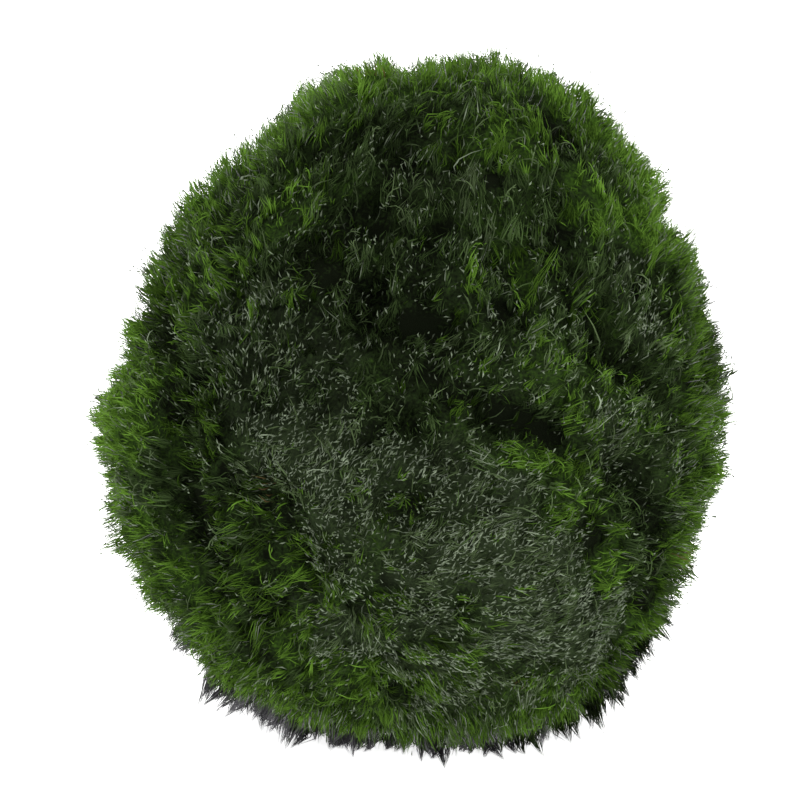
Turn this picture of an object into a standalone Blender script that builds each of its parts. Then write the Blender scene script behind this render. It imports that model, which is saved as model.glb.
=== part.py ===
"""A marimo moss ball: one egg-shaped tangle of green algae threads that rests on a small flat spot.

The ball is a single closed solid. Its outline is the one seen from the front and a little above.
Lumps, hollows and furrows shape its felt, and short tufts are fused to it all over.
Lengths are in metres, +Z is up, the front faces -Y, and the origin is the middle of the flat spot.
"""

import math

import bmesh
import bpy
import numpy as np

MM = 0.001

# Outline of the ball, as seen from the front and this far above the horizon
VIEW_ELEVATION = math.radians(20)
# Its radii every 15 degrees, anticlockwise from the right
OUTLINE_RADII = MM * np.array([
    29.7, 30.0, 30.8, 32.6, 34.6, 34.8, 33.9, 32.6, 30.0, 29.2, 28.0, 27.5,
    29.3, 29.9, 30.5, 31.3, 32.4, 31.9, 32.0, 32.6, 34.0, 32.6, 31.3, 30.2,
])
# Half thickness of the ball along the line of sight, towards the viewer and away
FRONT_DEPTH = 29.0 * MM
BACK_DEPTH = 28.5 * MM

# Radius that turns an angle on the ball into a length along its surface
MEAN_RADIUS = 31.0 * MM
# Share of the way out to the outline beyond which a place of the front counts as on the rim
RIM_SHARE = 0.995

# Swellings of the felt: places across and up from the outline's centre, reach, height, all in mm
SWELLINGS = [
    ([(3.8, -14.5)], 19.0, 2.0),
    ([(8.6, 24.5)], 11.0, 1.2),
    ([(12.5, 3.8)], 5.0, 1.4),
    ([(13.5, 12.5), (15.5, 16.0)], 4.0, 1.1),
    ([(22.1, 13.9)], 5.5, 1.2),
    ([(-26.9, -2.4)], 7.0, 1.3),
    ([(-16.3, -22.6)], 7.5, 1.3),
    ([(-22.1, 19.7)], 4.5, 0.9),
    ([(-20.2, 12.9)], 5.0, 1.0),
    ([(-12.0, 4.5), (-16.0, -3.5)], 6.0, 1.0),
]
# Hollows and furrows between the lumps, in the same way, with depths in the last place
HOLLOWS = [
    ([(-22.6, -2.4), (-22.3, -10.6), (-20.6, -13.0), (-18.7, -16.3)], 3.0, 2.6),
    ([(8.6, 14.4), (9.6, 10.6), (10.6, 9.6)], 3.0, 2.4),
    ([(17.3, 9.1), (18.2, 7.2), (20.2, 4.8), (24.0, 1.9)], 3.0, 2.4),
    ([(7.7, -1.0), (13.4, -1.0), (15.8, -3.4), (22.1, -6.2)], 2.9, 2.2),
    ([(21.8, -6.2), (23.0, -14.9), (20.2, -20.6)], 2.7, 1.8),
    ([(17.0, -12.7)], 2.5, 1.7),
    ([(1.4, 8.6)], 4.2, 2.6),
    ([(-4.3, 9.1), (-3.8, 12.0)], 3.2, 2.2),
    ([(2.6, 17.3)], 2.5, 1.8),
    ([(-3.4, 18.2), (-5.8, 20.2)], 2.5, 1.8),
    ([(-8.6, 18.2)], 2.5, 1.7),
    ([(-11.0, 23.0)], 2.6, 1.7),
    ([(-4.8, 25.9)], 2.5, 1.5),
    ([(12.5, 27.4), (14.6, 24.9)], 2.5, 1.6),
    ([(13.4, 18.8)], 2.4, 1.5),
    ([(-1.0, -9.6), (1.9, -8.6)], 2.7, 2.2),
    ([(-5.3, -18.7), (-2.4, -16.8)], 2.5, 1.7),
    ([(-10.1, -11.0), (-9.6, -17.8)], 2.4, 1.6),
    ([(-14.2, -14.9), (-13.4, -19.7)], 2.4, 1.6),
    ([(-5.3, -3.4), (0.0, -1.4)], 2.5, 1.6),
    ([(-21.3, 4.8), (-19.0, 2.9)], 2.5, 1.7),
    ([(26.1, -2.4)], 2.6, 1.7),
    ([(24.3, 17.5)], 2.5, 1.8),
]

# Lumps and hollows of the unseen back, placed by chance: how many, reach and height
BACK_LUMPS = 16
BACK_LUMP_REACH = (6.0 * MM, 11.0 * MM)
BACK_LUMP_HEIGHT = (0.8 * MM, 1.7 * MM)
BACK_HOLLOWS = 34
BACK_HOLLOW_REACH = (2.5 * MM, 4.0 * MM)
BACK_HOLLOW_DEPTH = (1.4 * MM, 2.6 * MM)

# Unevenness of the felt everywhere: number of crossing waves, their lengths and their joint height
RIPPLES = 60
RIPPLE_LENGTHS = (6.0 * MM, 13.0 * MM)
RIPPLE_HEIGHT = 0.40 * MM

# Tufts: how many, their reach along the surface, their height and how far their tips lean
TUFTS = 900
TUFT_REACH = 2.2 * MM
TUFT_HEIGHTS = (1.1 * MM, 2.5 * MM)
TUFT_LEAN = 0.5
# Play in their places, and how far the ways in which they lean scatter
TUFT_PLAY = 0.9 * MM
TUFT_SCATTER = 0.5
# How much further than to its sides a tuft reaches along the felt behind its tip
TUFT_TRAIL = 1.8
# Depth of the felt between the tufts under the outline, which passes through their upper half
FELT_DEPTH = 1.3 * MM
# The patch at the lower front where the threads are combed flat: place across and up in mm, reach,
# and the share of their height that tufts keep at its middle
MATTED_PLACE = (6.0, -14.5)
MATTED_REACH = 15.0 * MM
MATTED_TUFT_SHARE = 0.5

# The flat spot: how far the floor reaches up into the round underside, and the evenness around it
SPOT_RISE = 1.1 * MM
SPOT_CALM_REACH = 24.0 * MM
CUTTER_SIZE = 100.0 * MM

# Mesh: subdivisions of the starting sphere, share of its triangles kept, sharp-edge angle
SUBDIVISIONS = 6
KEPT_SHARE = 0.455
SHARP_ANGLE = math.radians(50)

SEED = 20

# The moss, dark green and damp
MOSS_COLOUR = (0.042, 0.078, 0.020, 1.0)
MOSS_ROUGHNESS = 0.62

ACROSS = np.array([1.0, 0.0, 0.0])
UP = np.array([0.0, math.sin(VIEW_ELEVATION), math.cos(VIEW_ELEVATION)])
TOWARDS = np.array([0.0, -math.cos(VIEW_ELEVATION), math.sin(VIEW_ELEVATION)])
STRAIGHT_DOWN = np.array([0.0, 0.0, -1.0])


def clear_scene():
    """Removes every object that the new file starts with."""
    for thing in list(bpy.data.objects):
        bpy.data.objects.remove(thing, do_unlink=True)


def collection_named(name):
    """A new collection in the scene."""
    collection = bpy.data.collections.new(name)
    bpy.context.scene.collection.children.link(collection)
    return collection


def outline_radius(angles):
    """The outline's radius at each angle, on a smooth closed curve through OUTLINE_RADII."""
    count = len(OUTLINE_RADII)
    place = angles / (2 * math.pi) * count
    start = np.floor(place).astype(int)
    part = place - start
    before, here, after, beyond = (OUTLINE_RADII[(start + step) % count] for step in (-1, 0, 1, 2))
    bend = 2 * before - 5 * here + 4 * after - beyond
    twist = 3 * (here - after) + beyond - before
    return here + 0.5 * part * (after - before + part * (bend + part * twist))


def body_radius(directions):
    """Distance from the centre to the outline's rounded body: half an ellipse at each angle of view."""
    across = directions @ ACROSS
    up = directions @ UP
    towards = directions @ TOWARDS
    in_view = np.hypot(across, up) / outline_radius(np.arctan2(up, across))
    depth = np.where(towards > 0, FRONT_DEPTH, BACK_DEPTH)
    return 1 / np.hypot(in_view, towards / depth)


def facing_direction(place):
    """Unit direction of the point of the front that is seen at a place across and up, in mm."""
    across, up = place[0] * MM, place[1] * MM
    reach = min(math.hypot(across, up) / float(outline_radius(math.atan2(up, across))), RIM_SHARE)
    towards = FRONT_DEPTH * math.sqrt(1 - reach**2)
    point = across * ACROSS + up * UP + towards * TOWARDS
    return point / np.linalg.norm(point)


def distance_to_path(directions, path):
    """Length along the surface from each direction to a path of directions."""
    nearest = np.full(len(directions), np.inf)
    for start, end in zip(path, path[1:] + path[-1:]):
        run = end - start
        along = np.clip((directions - start) @ run / max(run @ run, 1e-12), 0, 1)
        gap = np.linalg.norm(directions - start - along[:, None] * run, axis=1)
        nearest = np.minimum(nearest, gap)
    return nearest * MEAN_RADIUS


def dome(distance, reach):
    """A rounded bump, 1 at its middle and 0 from its reach on."""
    inside = np.clip(1 - (distance / reach) ** 2, 0, None)
    return inside**2


def front_relief(directions):
    """Height of the front's swellings less the depth of its hollows."""
    relief = np.zeros(len(directions))
    for sign, features in ((1, SWELLINGS), (-1, HOLLOWS)):
        for places, reach, height in features:
            path = [facing_direction(place) for place in places]
            relief += sign * height * MM * dome(distance_to_path(directions, path), reach * MM)
    return relief


def random_directions(chance, count):
    """Unit directions spread evenly by chance."""
    found = chance.normal(size=(count, 3))
    return found / np.linalg.norm(found, axis=1, keepdims=True)


def back_relief(directions, chance):
    """Height of the lumps and hollows that lie by chance on the side away from the viewer."""
    relief = np.zeros(len(directions))
    kinds = (
        (1, BACK_LUMPS, BACK_LUMP_REACH, BACK_LUMP_HEIGHT),
        (-1, BACK_HOLLOWS, BACK_HOLLOW_REACH, BACK_HOLLOW_DEPTH),
    )
    for sign, count, reaches, heights in kinds:
        for middle in random_directions(chance, count):
            middle = middle - max(2 * (middle @ TOWARDS), 0) * TOWARDS
            reach = chance.uniform(*reaches)
            height = chance.uniform(*heights)
            relief += sign * height * dome(distance_to_path(directions, [middle]), reach)
    return relief


def ripples(directions, chance):
    """Slight unevenness made of crossing waves."""
    ways = random_directions(chance, RIPPLES)
    lengths = chance.uniform(*RIPPLE_LENGTHS, RIPPLES)
    starts = chance.uniform(0, 2 * math.pi, RIPPLES)
    phases = directions @ ways.T * (2 * math.pi * MEAN_RADIUS / lengths) + starts
    return RIPPLE_HEIGHT * math.sqrt(2 / RIPPLES) * np.sin(phases).sum(axis=1)


def felt_radius(directions, chance):
    """Distance from the centre to the felt between the tufts, pressed even around the flat spot."""
    relief = front_relief(directions) + back_relief(directions, chance) + ripples(directions, chance)
    uneven = 1 - dome(distance_to_path(directions, [STRAIGHT_DOWN]), SPOT_CALM_REACH)
    return body_radius(directions) - FELT_DEPTH + relief * uneven


def tuft_roots(directions, chance):
    """Vertices that become tuft tips: an even spiral of places with some play, each on its own vertex."""
    order = np.arange(TUFTS) + 0.5
    height = 1 - 2 * order / TUFTS
    turn = order * math.pi * (3 - math.sqrt(5))
    level = np.sqrt(1 - height**2)
    spiral = np.stack([level * np.cos(turn), level * np.sin(turn), height], axis=1)
    spiral += chance.normal(scale=TUFT_PLAY / MEAN_RADIUS, size=spiral.shape)
    spiral /= np.linalg.norm(spiral, axis=1, keepdims=True)
    return np.unique((spiral @ directions.T).argmax(axis=1))


def leaning_way(outward, whorl, chance):
    """Unit direction along the surface, mostly away from the whorl, in which a tuft leans."""
    way = outward * (outward @ whorl) - whorl + chance.normal(scale=TUFT_SCATTER, size=3)
    way -= outward * (way @ outward)
    return way / np.linalg.norm(way)


def tuft_share(directions, outward, way):
    """Share of a tuft's height at each direction: a cusp at its tip, drawn out behind it."""
    offset = (directions - outward) * MEAN_RADIUS
    along = offset @ way
    aside = np.linalg.norm(offset - along[:, None] * way, axis=1)
    gap = np.hypot(aside, np.where(along < 0, along / TUFT_TRAIL, along))
    return np.clip(1 - gap / TUFT_REACH, 0, None) ** 2


def add_tufts(points, directions, chance):
    """Draws the felt up into pointed tufts that lean away from the flat-combed patch."""
    whorl = facing_direction(MATTED_PLACE)
    shift = np.zeros_like(points)
    tallest = np.zeros(len(points))
    for root in tuft_roots(directions, chance):
        outward = directions[root]
        way = leaning_way(outward, whorl, chance)
        matted = dome(np.linalg.norm(outward - whorl) * MEAN_RADIUS, MATTED_REACH)
        height = chance.uniform(*TUFT_HEIGHTS) * (1 - (1 - MATTED_TUFT_SHARE) * matted)
        share = tuft_share(directions, outward, way)
        taller = share * height > tallest
        tallest[taller] = (share * height)[taller]
        shift[taller] = share[taller, None] * height * (outward + TUFT_LEAN * way)
    return points + shift


def moss_material():
    """Damp dark green moss."""
    material = bpy.data.materials.new("moss")
    material.use_nodes = True
    shader = material.node_tree.nodes["Principled BSDF"]
    shader.inputs["Base Color"].default_value = MOSS_COLOUR
    shader.inputs["Roughness"].default_value = MOSS_ROUGHNESS
    shader.inputs["Metallic"].default_value = 0.0
    material.diffuse_color = MOSS_COLOUR
    return material


def sphere_mesh():
    """A unit sphere of even triangles."""
    shape = bmesh.new()
    bmesh.ops.create_icosphere(shape, subdivisions=SUBDIVISIONS, radius=1.0)
    mesh = bpy.data.meshes.new("moss_ball")
    shape.to_mesh(mesh)
    shape.free()
    return mesh


def ball_points(directions):
    """The ball's vertices, standing on z = 0 with the middle of its plan at the origin."""
    chance = np.random.default_rng(SEED)
    points = directions * felt_radius(directions, chance)[:, None]
    floor = points[:, 2].min() + SPOT_RISE
    points = add_tufts(points, directions, chance)
    middle = (points.min(axis=0) + points.max(axis=0)) / 2
    return points - np.array([middle[0], middle[1], floor])


def make_floor_cutter(collection):
    """A block whose top face is the floor, which flattens the resting spot."""
    shape = bmesh.new()
    bmesh.ops.create_cube(shape, size=CUTTER_SIZE)
    mesh = bpy.data.meshes.new("floor_cutter")
    shape.to_mesh(mesh)
    shape.free()
    cutter = bpy.data.objects.new("floor_cutter", mesh)
    cutter.location = (0, 0, -CUTTER_SIZE / 2)
    cutter.hide_render = True
    cutter.display_type = "WIRE"
    collection.objects.link(cutter)
    return cutter


def make_ball(collection, cutter):
    """The moss ball, with fewer triangles where it is smooth and its underside cut flat."""
    mesh = sphere_mesh()
    coordinates = np.empty(len(mesh.vertices) * 3)
    mesh.vertices.foreach_get("co", coordinates)
    directions = coordinates.reshape(-1, 3)
    directions /= np.linalg.norm(directions, axis=1, keepdims=True)
    mesh.vertices.foreach_set("co", ball_points(directions).ravel())
    mesh.materials.append(moss_material())
    mesh.shade_smooth()
    mesh.set_sharp_from_angle(angle=SHARP_ANGLE)
    mesh.update()

    ball = bpy.data.objects.new("moss_ball", mesh)
    collection.objects.link(ball)
    fewer = ball.modifiers.new("fewer_triangles", "DECIMATE")
    fewer.ratio = KEPT_SHARE
    flat_spot = ball.modifiers.new("flat_spot", "BOOLEAN")
    flat_spot.operation = "DIFFERENCE"
    flat_spot.solver = "EXACT"
    flat_spot.object = cutter
    return ball


def main():
    clear_scene()
    ball_parts = collection_named("Marimo moss ball")
    cutters = collection_named("Cutters")
    make_ball(ball_parts, make_floor_cutter(cutters))


main()
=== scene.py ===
"""Marimo moss ball: a dark felt under a shaggy coat of damp green threads, on a pale studio floor."""

import math

import bpy
import numpy as np
from mathutils import Matrix


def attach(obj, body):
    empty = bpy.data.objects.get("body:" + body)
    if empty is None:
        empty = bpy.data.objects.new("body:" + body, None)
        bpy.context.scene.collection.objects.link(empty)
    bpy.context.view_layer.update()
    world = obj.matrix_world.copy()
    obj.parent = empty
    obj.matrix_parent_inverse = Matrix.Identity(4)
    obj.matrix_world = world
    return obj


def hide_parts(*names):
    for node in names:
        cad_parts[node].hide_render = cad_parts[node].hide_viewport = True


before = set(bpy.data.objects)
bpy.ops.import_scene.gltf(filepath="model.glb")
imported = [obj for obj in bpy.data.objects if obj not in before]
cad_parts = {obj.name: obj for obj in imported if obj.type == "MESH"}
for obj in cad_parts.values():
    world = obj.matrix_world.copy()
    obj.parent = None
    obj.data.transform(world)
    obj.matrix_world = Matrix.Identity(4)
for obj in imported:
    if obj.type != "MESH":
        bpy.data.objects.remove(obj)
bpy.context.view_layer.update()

MM = 0.001
BALL = "moss_ball"
# The map that carries each thread's kind and brightness, and the felt's own layers
BAKE_MAP = "OFBake"
GREEN_LAYER = "green"
MATTED_LAYER = "matted"
# All chance comes from this one seeded source, so that every run makes the same ball
chance = np.random.default_rng(62)

# The photograph's view: the camera's height over the horizon, and the directions across, up and to it
VIEW_ELEVATION = math.radians(20)
ACROSS = np.array([1.0, 0.0, 0.0])
UP = np.array([0.0, math.sin(VIEW_ELEVATION), math.cos(VIEW_ELEVATION)])
TOWARDS = np.array([0.0, -math.cos(VIEW_ELEVATION), math.sin(VIEW_ELEVATION)])

# Middle of the ball, its half thickness to the front, and the radius that turns an angle into a length
BALL_CENTRE = MM * np.array([-0.75, 0.47, 29.2])
FRONT_DEPTH = 29.0 * MM
MEAN_RADIUS = 31.0 * MM

# The camera: its lens, its distance, and the point it aims at, across and up from the ball's middle
LENS = 135.0
CAMERA_DISTANCE = 290.0 * MM
AIM_ACROSS = -1.00 * MM
AIM_UP = 1.30 * MM
# Where the places of the front are counted from, across and up from the middle of the picture
PLACES_ACROSS = 0.96 * MM
PLACES_UP = -0.48 * MM

# Changes of the coat's reach around the outline that the camera sees: degrees from the right, change in mm
OUTLINE_CHANGES = [
    (12, 0.2), (25, 0.6), (47, 0.3), (70, 0.6), (82, 0.3), (100, 0.6), (112, 0.4), (148, -0.9),
    (160, 0.5), (170, -0.35), (181, 0.8), (200, 0.8), (212, -0.4), (229, -1), (242, -0.3), (252, -0.2),
    (272, -0.1), (286, 0.3), (300, -1.2), (311, -0.9), (322, -1.3), (339, -1.1), (351, 0.7),
]
# Degrees over which such a change fades to each side
OUTLINE_BELL = 8.0
# Single tufts and notches of that outline, the same way, over fewer degrees
OUTLINE_TUFTS_AND_NOTCHES = [
    (33.5, 1.2), (37.2, -1.5), (42, 1.1), (71.5, -0.4), (78, 0.5), (86, -0.7), (91.5, -0.8), (95.5, 0.5),
    (121, -0.5), (127, 0.6), (132, -0.2), (141, 0.4), (166, 0.4), (172.5, -0.7), (178, 0.9), (190, -0.4),
    (214.5, 0.7), (222, -0.4), (230.5, -0.9), (234.5, 0.9), (241.5, -0.5), (259, -0.7), (265, 0.5),
    (269.5, -0.4), (278.5, 0.5), (294, -0.6), (306, 0.5), (323.5, 0.5), (330.5, 0.8), (351, 0.5),
]
NOTCH_BELL = 2.6
# Depth before and behind that outline, as a share of the radius, over which the changes fade
OUTLINE_DEPTH = 0.35

# Places of the front, each a path of places across and up in mm, its reach in mm, and its strength. These
# are flat-combed, damp grey patches, whose grey is partly a painted sheen
MATTED_PLACES = [
    ([(-14, -2.5), (-8, -5), (-6.5, -8)], 4, 1), ([(-8, -12), (-6, -15)], 3, 0.9),
    ([(-1, -6), (3, -7), (8, -8)], 3.2, 0.9), ([(4, -13), (10, -15), (12, -19)], 5.5, 1),
    ([(14, -21.5), (18, -21)], 4, 0.9), ([(0, -14), (2, -19)], 3.5, 0.75),
    ([(-8, -21), (-3, -22), (4, -24)], 3.2, 0.65), ([(9, -26), (3, -28.5)], 3, 0.45),
    ([(20, -2), (23, -6)], 3, 0.5), ([(-16, 7), (-9, 4), (-13, 1)], 4.5, 0.6), ([(-2, -19.5)], 2, 0.6),
    ([(20, 12), (22.5, 8)], 2.5, 0.45), ([(-26.5, -7.5)], 2.5, 0.6),
    ([(-6, 14), (2, 16), (8, 8), (4, 3)], 6.5, 0.18),
]
# Fresh bright green places
FRESH_PLACES = [
    ([(-27.5, 6), (-27, 0), (-26.5, -5)], 3, 1.35), ([(-16, 23), (-19.5, 17.5)], 2.6, 0.85),
    ([(-24.5, 10), (-24.5, 6)], 1.8, 0.7), ([(-16.5, -13.5), (-14.5, -16.5)], 2, 0.6),
    ([(3.5, -22.5), (4.5, -29.5)], 2.4, 0.55), ([(25, -5.5), (25.5, -9)], 1.8, 0.6),
    ([(21.5, -17), (20, -21)], 2, 0.7), ([(15.5, -13.5)], 1.6, 0.6),
    ([(9.5, -5.5), (15.5, -4.5)], 1.6, 0.6), ([(-23.5, 2), (-23, -3)], 2.4, 0.9),
    ([(-15, 9.5), (-10, 11.5)], 2, 0.4), ([(-21.5, -16.5), (-18, -21), (-14, -25.5)], 3.4, 0.8),
    ([(-17, 14), (-12, 19), (-6, 17)], 2.2, 0.45),
    ([(14.5, 29), (19, 25.5), (23, 20), (25.5, 15)], 2.4, 1), ([(28.5, -4), (27, -8)], 2.2, 0.8),
    ([(-28.5, 0), (-28, -6)], 3, 2.2), ([(10, -5), (13, -4.5)], 1.8, 0.5),
    ([(11, 12.5), (13, 9)], 1.8, 0.4), ([(-11, -23.5), (-7, -24.5)], 1.8, 0.7),
    ([(-2, -18), (-1, -20.5)], 1.5, 0.7), ([(9, -24.5), (15, -25)], 2, 0.9),
    ([(-13, -12.5), (-12, -15.5)], 2, 0.6), ([(-2, -11), (-1, -13.5)], 1.5, 0.5),
    ([(20, -18.5), (22, -19.5)], 2, 0.5), ([(22, 14), (24, 10)], 2.2, 0.5),
    ([(-26.5, -11), (-25.5, -15)], 1.9, 0.9), ([(-19, -10.5), (-16, -12.5), (-14.5, -9)], 2.4, 0.5),
    ([(-18.5, -18.5), (-16, -22)], 3.4, 0.6), ([(-14.5, -27), (-9, -29.5)], 3, 1),
    ([(-7, 29.5), (-2, 29.5)], 3, 0.8), ([(16, 28), (20, 24), (24, 19)], 3.5, 1),
    ([(16, 21), (19, 18), (21, 16)], 2.6, 0.6), ([(9, 15.5), (12, 14)], 2, 0.4),
    ([(11.5, 6.5), (13.5, 3.5)], 2.6, 0.5), ([(16.5, 4.5), (19, 2), (23, 0)], 2.2, 0.5),
    ([(17, 0), (21, -2)], 2.4, 0.5), ([(13, -4), (15.5, -6)], 1.8, 0.6), ([(16, -5), (19, -6)], 1.8, 0.5),
    ([(12, -11.5)], 1.8, 0.4), ([(18.5, -15)], 1.8, 0.5), ([(7, -25.5), (13, -25)], 2.2, 0.5),
    ([(6, -17), (7, -22)], 1.8, 0.45), ([(-20, 14), (-21.5, 0), (-18, -16), (-12, -23.5)], 5.5, 0.42),
    ([(-1.5, -10), (-0.5, -14)], 1.8, 0.5), ([(-5.5, -14.5), (-10, -20.5)], 1.8, 0.6),
    ([(-10, -21.5), (-12, -22.5)], 1.8, 0.8), ([(6.5, -23)], 1.8, 0.8),
    ([(-20.5, -10), (-17.5, -10)], 1.2, 0.7), ([(4, 24.5), (12, 23)], 2.4, 0.4),
    ([(16, 20), (20, 16.5)], 2.6, 0.6), ([(5, 4), (8, 2.5)], 1.6, 0.4), ([(4, 27), (8, 24)], 3, 0.6),
    ([(6, 13.5), (7, 10)], 1.6, 0.6), ([(-5, -24.5), (-1, -25.5)], 1.8, 0.8), ([(3, -22.5)], 1.4, 0.6),
    ([(14, -9), (18, -10.5)], 1.6, 0.8), ([(-9, -14.5), (-7.5, -16.5)], 1.3, 0.6),
    ([(-10.5, 22), (-7, 20.5)], 1.5, 0.5), ([(-5, -9.5)], 1.2, 0.5), ([(23, 21.5), (21.5, 16)], 2.6, 1.5),
    ([(18.5, 28)], 2.4, 1.6), ([(16, 20)], 1.8, 1), ([(2.5, 31)], 1.6, 1.3), ([(24, -21)], 1.6, 1.3),
    ([(4, -0.5)], 1.6, 0.5), ([(-13, 18)], 1.8, 0.7), ([(16, 10)], 1.8, 0.7), ([(13, 5)], 1.8, 0.6),
    ([(10.5, -5), (15.5, -5)], 1.8, 0.9), ([(-26, -11)], 1.7, 1.3), ([(-19.5, -23)], 2.2, 1.5),
    ([(-12, -14)], 1.8, 0.8), ([(-2, -19)], 2.4, 1.1), ([(-4.5, -14)], 1.8, 0.8),
    ([(-9.5, -9)], 1.4, 0.6), ([(18.5, -15.5)], 1.8, 0.9), ([(-9.5, 26.5)], 1.6, 0.6),
    ([(8, 27), (11.5, 23.5)], 1.8, 0.6), ([(-8, -26.5), (-4, -26)], 2.2, 0.9),
    ([(10, -26), (13, -25)], 2.2, 1.3), ([(12.5, -11)], 1.8, 0.6), ([(25.5, -13.5)], 1.8, 1.2),
    ([(15.5, 20.5), (17, 17.5), (21, 15.5)], 1.8, 1.3), ([(5, 27), (10, 23)], 2.2, 0.8),
    ([(10.6, 13.2)], 1.4, 1), ([(-12, 19.5), (-12.5, 16.5)], 1.4, 0.8), ([(-29, -2.5)], 2, 2.8),
    ([(-25, -11)], 1.4, 1.3), ([(17, -14.5), (19.5, -15.5)], 1.4, 1.2),
]
# Deep places, where little light gets in
DEEP_PLACES = [
    ([(-23, 1), (-22.6, -5), (-22, -10.6), (-20.6, -13.5)], 2.3, 1),
    ([(-21, -10), (-20.4, -12.5)], 2.2, 1.5), ([(-20.6, -14), (-18.5, -17.5)], 2, 0.8),
    ([(0.5, -14)], 1.6, 0.5), ([(-12, -18.5), (-14.5, -16.5)], 1.6, 0.5),
    ([(-9, 15), (-5, 12.5), (-4, 9)], 2.6, 0.9), ([(1.2, 9)], 3, 1), ([(-12, 12), (-8.5, 8)], 2.4, 0.6),
    ([(-18.5, 4), (-16, 0), (-20, -3)], 3.2, 0.65), ([(-18, 8), (-12, 6), (-10, 1)], 3.4, 0.45),
    ([(-22.5, 15.5), (-23.5, 7)], 2.8, 0.85), ([(28.5, 6), (28.5, 3)], 2, 0.6),
    ([(24, 11), (23.5, 8.5)], 1.8, 0.5), ([(17, -28), (20.5, -25.5), (22, -22)], 2.2, 0.6),
    ([(-24.5, 14), (-25.8, 6)], 2, 0.5), ([(-22.8, 8.5), (-21, 3.5)], 1.8, 0.9),
    ([(28, 8), (28, 2)], 2, 0.7), ([(13.5, 27), (13, 24)], 1.5, 0.5), ([(26, -3), (26.5, -7)], 1.6, 0.4),
    ([(-17.5, -12.5), (-20.5, -14.5)], 2, 0.4), ([(-8.5, -15.5)], 1.4, 0.4),
    ([(-3, -30.5), (5, -31), (12, -30.5)], 1.6, 0.4), ([(8.5, 8.5), (10.5, 9)], 1.5, 0.4),
    ([(-20.5, -25.5), (-17.5, -28), (-13.5, -29.5)], 1.6, 1.2),
    ([(-15, 22.5), (-9, 24.5), (-2, 24.5), (4, 27)], 2.8, 0.5), ([(-20, -8), (-18.5, -13)], 2.4, 0.5),
    ([(0, 13), (0, 5)], 2.6, 0.3), ([(8.6, 14.4), (9.6, 10.6)], 1.8, 0.5),
    ([(15.5, 10.5), (18.2, 7.2), (20.2, 4.8), (24, 2.4)], 1.8, 0.7),
    ([(4.5, 0.5), (8, -0.5), (12.5, -1.5), (15, -3.8)], 1.7, 1),
    ([(22, -6.5), (23, -12), (22, -18)], 2, 0.8), ([(16.8, -12.8)], 2, 0.9),
    ([(-3.8, 17.5), (-5, 19.5)], 2.2, 0.8), ([(2.6, 17.3)], 2, 0.8),
    ([(-5.5, 24.5), (-3.5, 26.5)], 2.2, 0.7), ([(12.8, 26.8), (14, 25)], 2.2, 0.7),
    ([(14, 20), (15.5, 18.5)], 1.8, 0.4), ([(12.5, 12.5)], 1.4, 0.4), ([(-12, -11)], 1.3, 0.5),
    ([(-9.8, -17.8)], 1.6, 0.6), ([(-5, -18.8)], 1.4, 0.6), ([(-1.2, -9.8), (1, -9.2)], 1.8, 0.8),
    ([(-3, -0.5), (-4.5, -3.5)], 1.6, 0.6), ([(-22, 4.5), (-20, 2)], 2, 0.6),
    ([(-10, 0.5), (-14, -0.5)], 2, 0.5), ([(-21.5, -12.5), (-15, -13)], 1.6, 0.7),
    ([(-6, -10)], 1.6, 0.6), ([(5.5, -12.5), (3, -5)], 1.6, 0.4), ([(17.5, 6.5)], 1.8, 0.7),
    ([(29, 8.5), (29, 3)], 2.2, 1.3), ([(25, 8)], 1.8, 0.5), ([(-11.5, 27.5)], 2, 0.5),
    ([(-15, 17)], 1.6, 0.7), ([(-21.5, 15)], 1.6, 0.9), ([(-19, -17.5)], 1.6, 0.9),
    ([(6, 10.5)], 1.8, 0.5), ([(7, -8)], 1.4, 0.4), ([(17, -25)], 2, 0.7), ([(1, 12)], 2, 0.8),
    ([(2.5, 5)], 2, 1), ([(-18.5, -13.5), (-18.5, -16.5)], 1.8, 1.2),
    ([(-14, -18), (-14.5, -22)], 1.6, 0.7), ([(-1.5, -9.5)], 2, 0.7), ([(16, -12.5)], 1.6, 0.6),
    ([(15.5, -30), (18.5, -27.5), (21, -24)], 2.6, 1.2), ([(25.5, -17.5)], 1.8, 1.4),
    ([(26, -2.5)], 1.8, 1.1), ([(-21, 13)], 1.8, 1), ([(8, 22)], 1.6, 0.5),
    ([(-1, 22), (-1, 18.5)], 2, 0.6), ([(9.5, 9.5)], 1.8, 1.2), ([(-18.5, -7.5), (-14.5, -7)], 1.8, 0.6),
    ([(-9.5, -16)], 1.4, 0.6), ([(19.5, -20.5)], 1.8, 0.6), ([(5, -26.5)], 1.6, 0.5),
    ([(12.5, 26.5)], 1.8, 1.4), ([(28, 5.5)], 2, 1.2), ([(22.5, 10.5)], 1.8, 1.2),
    ([(28, 9.5)], 1.4, 0.9), ([(16.5, -17)], 1.4, 0.7), ([(-17.5, 17.5)], 1.8, 0.5),
    ([(-22, 8), (-21.5, 5)], 1.8, 1), ([(-18, 19), (-16.5, 13.5), (-13, 9)], 2.6, 0.4),
    ([(14, 17), (13.5, 12.5)], 1.4, 0.6),
]
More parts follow.
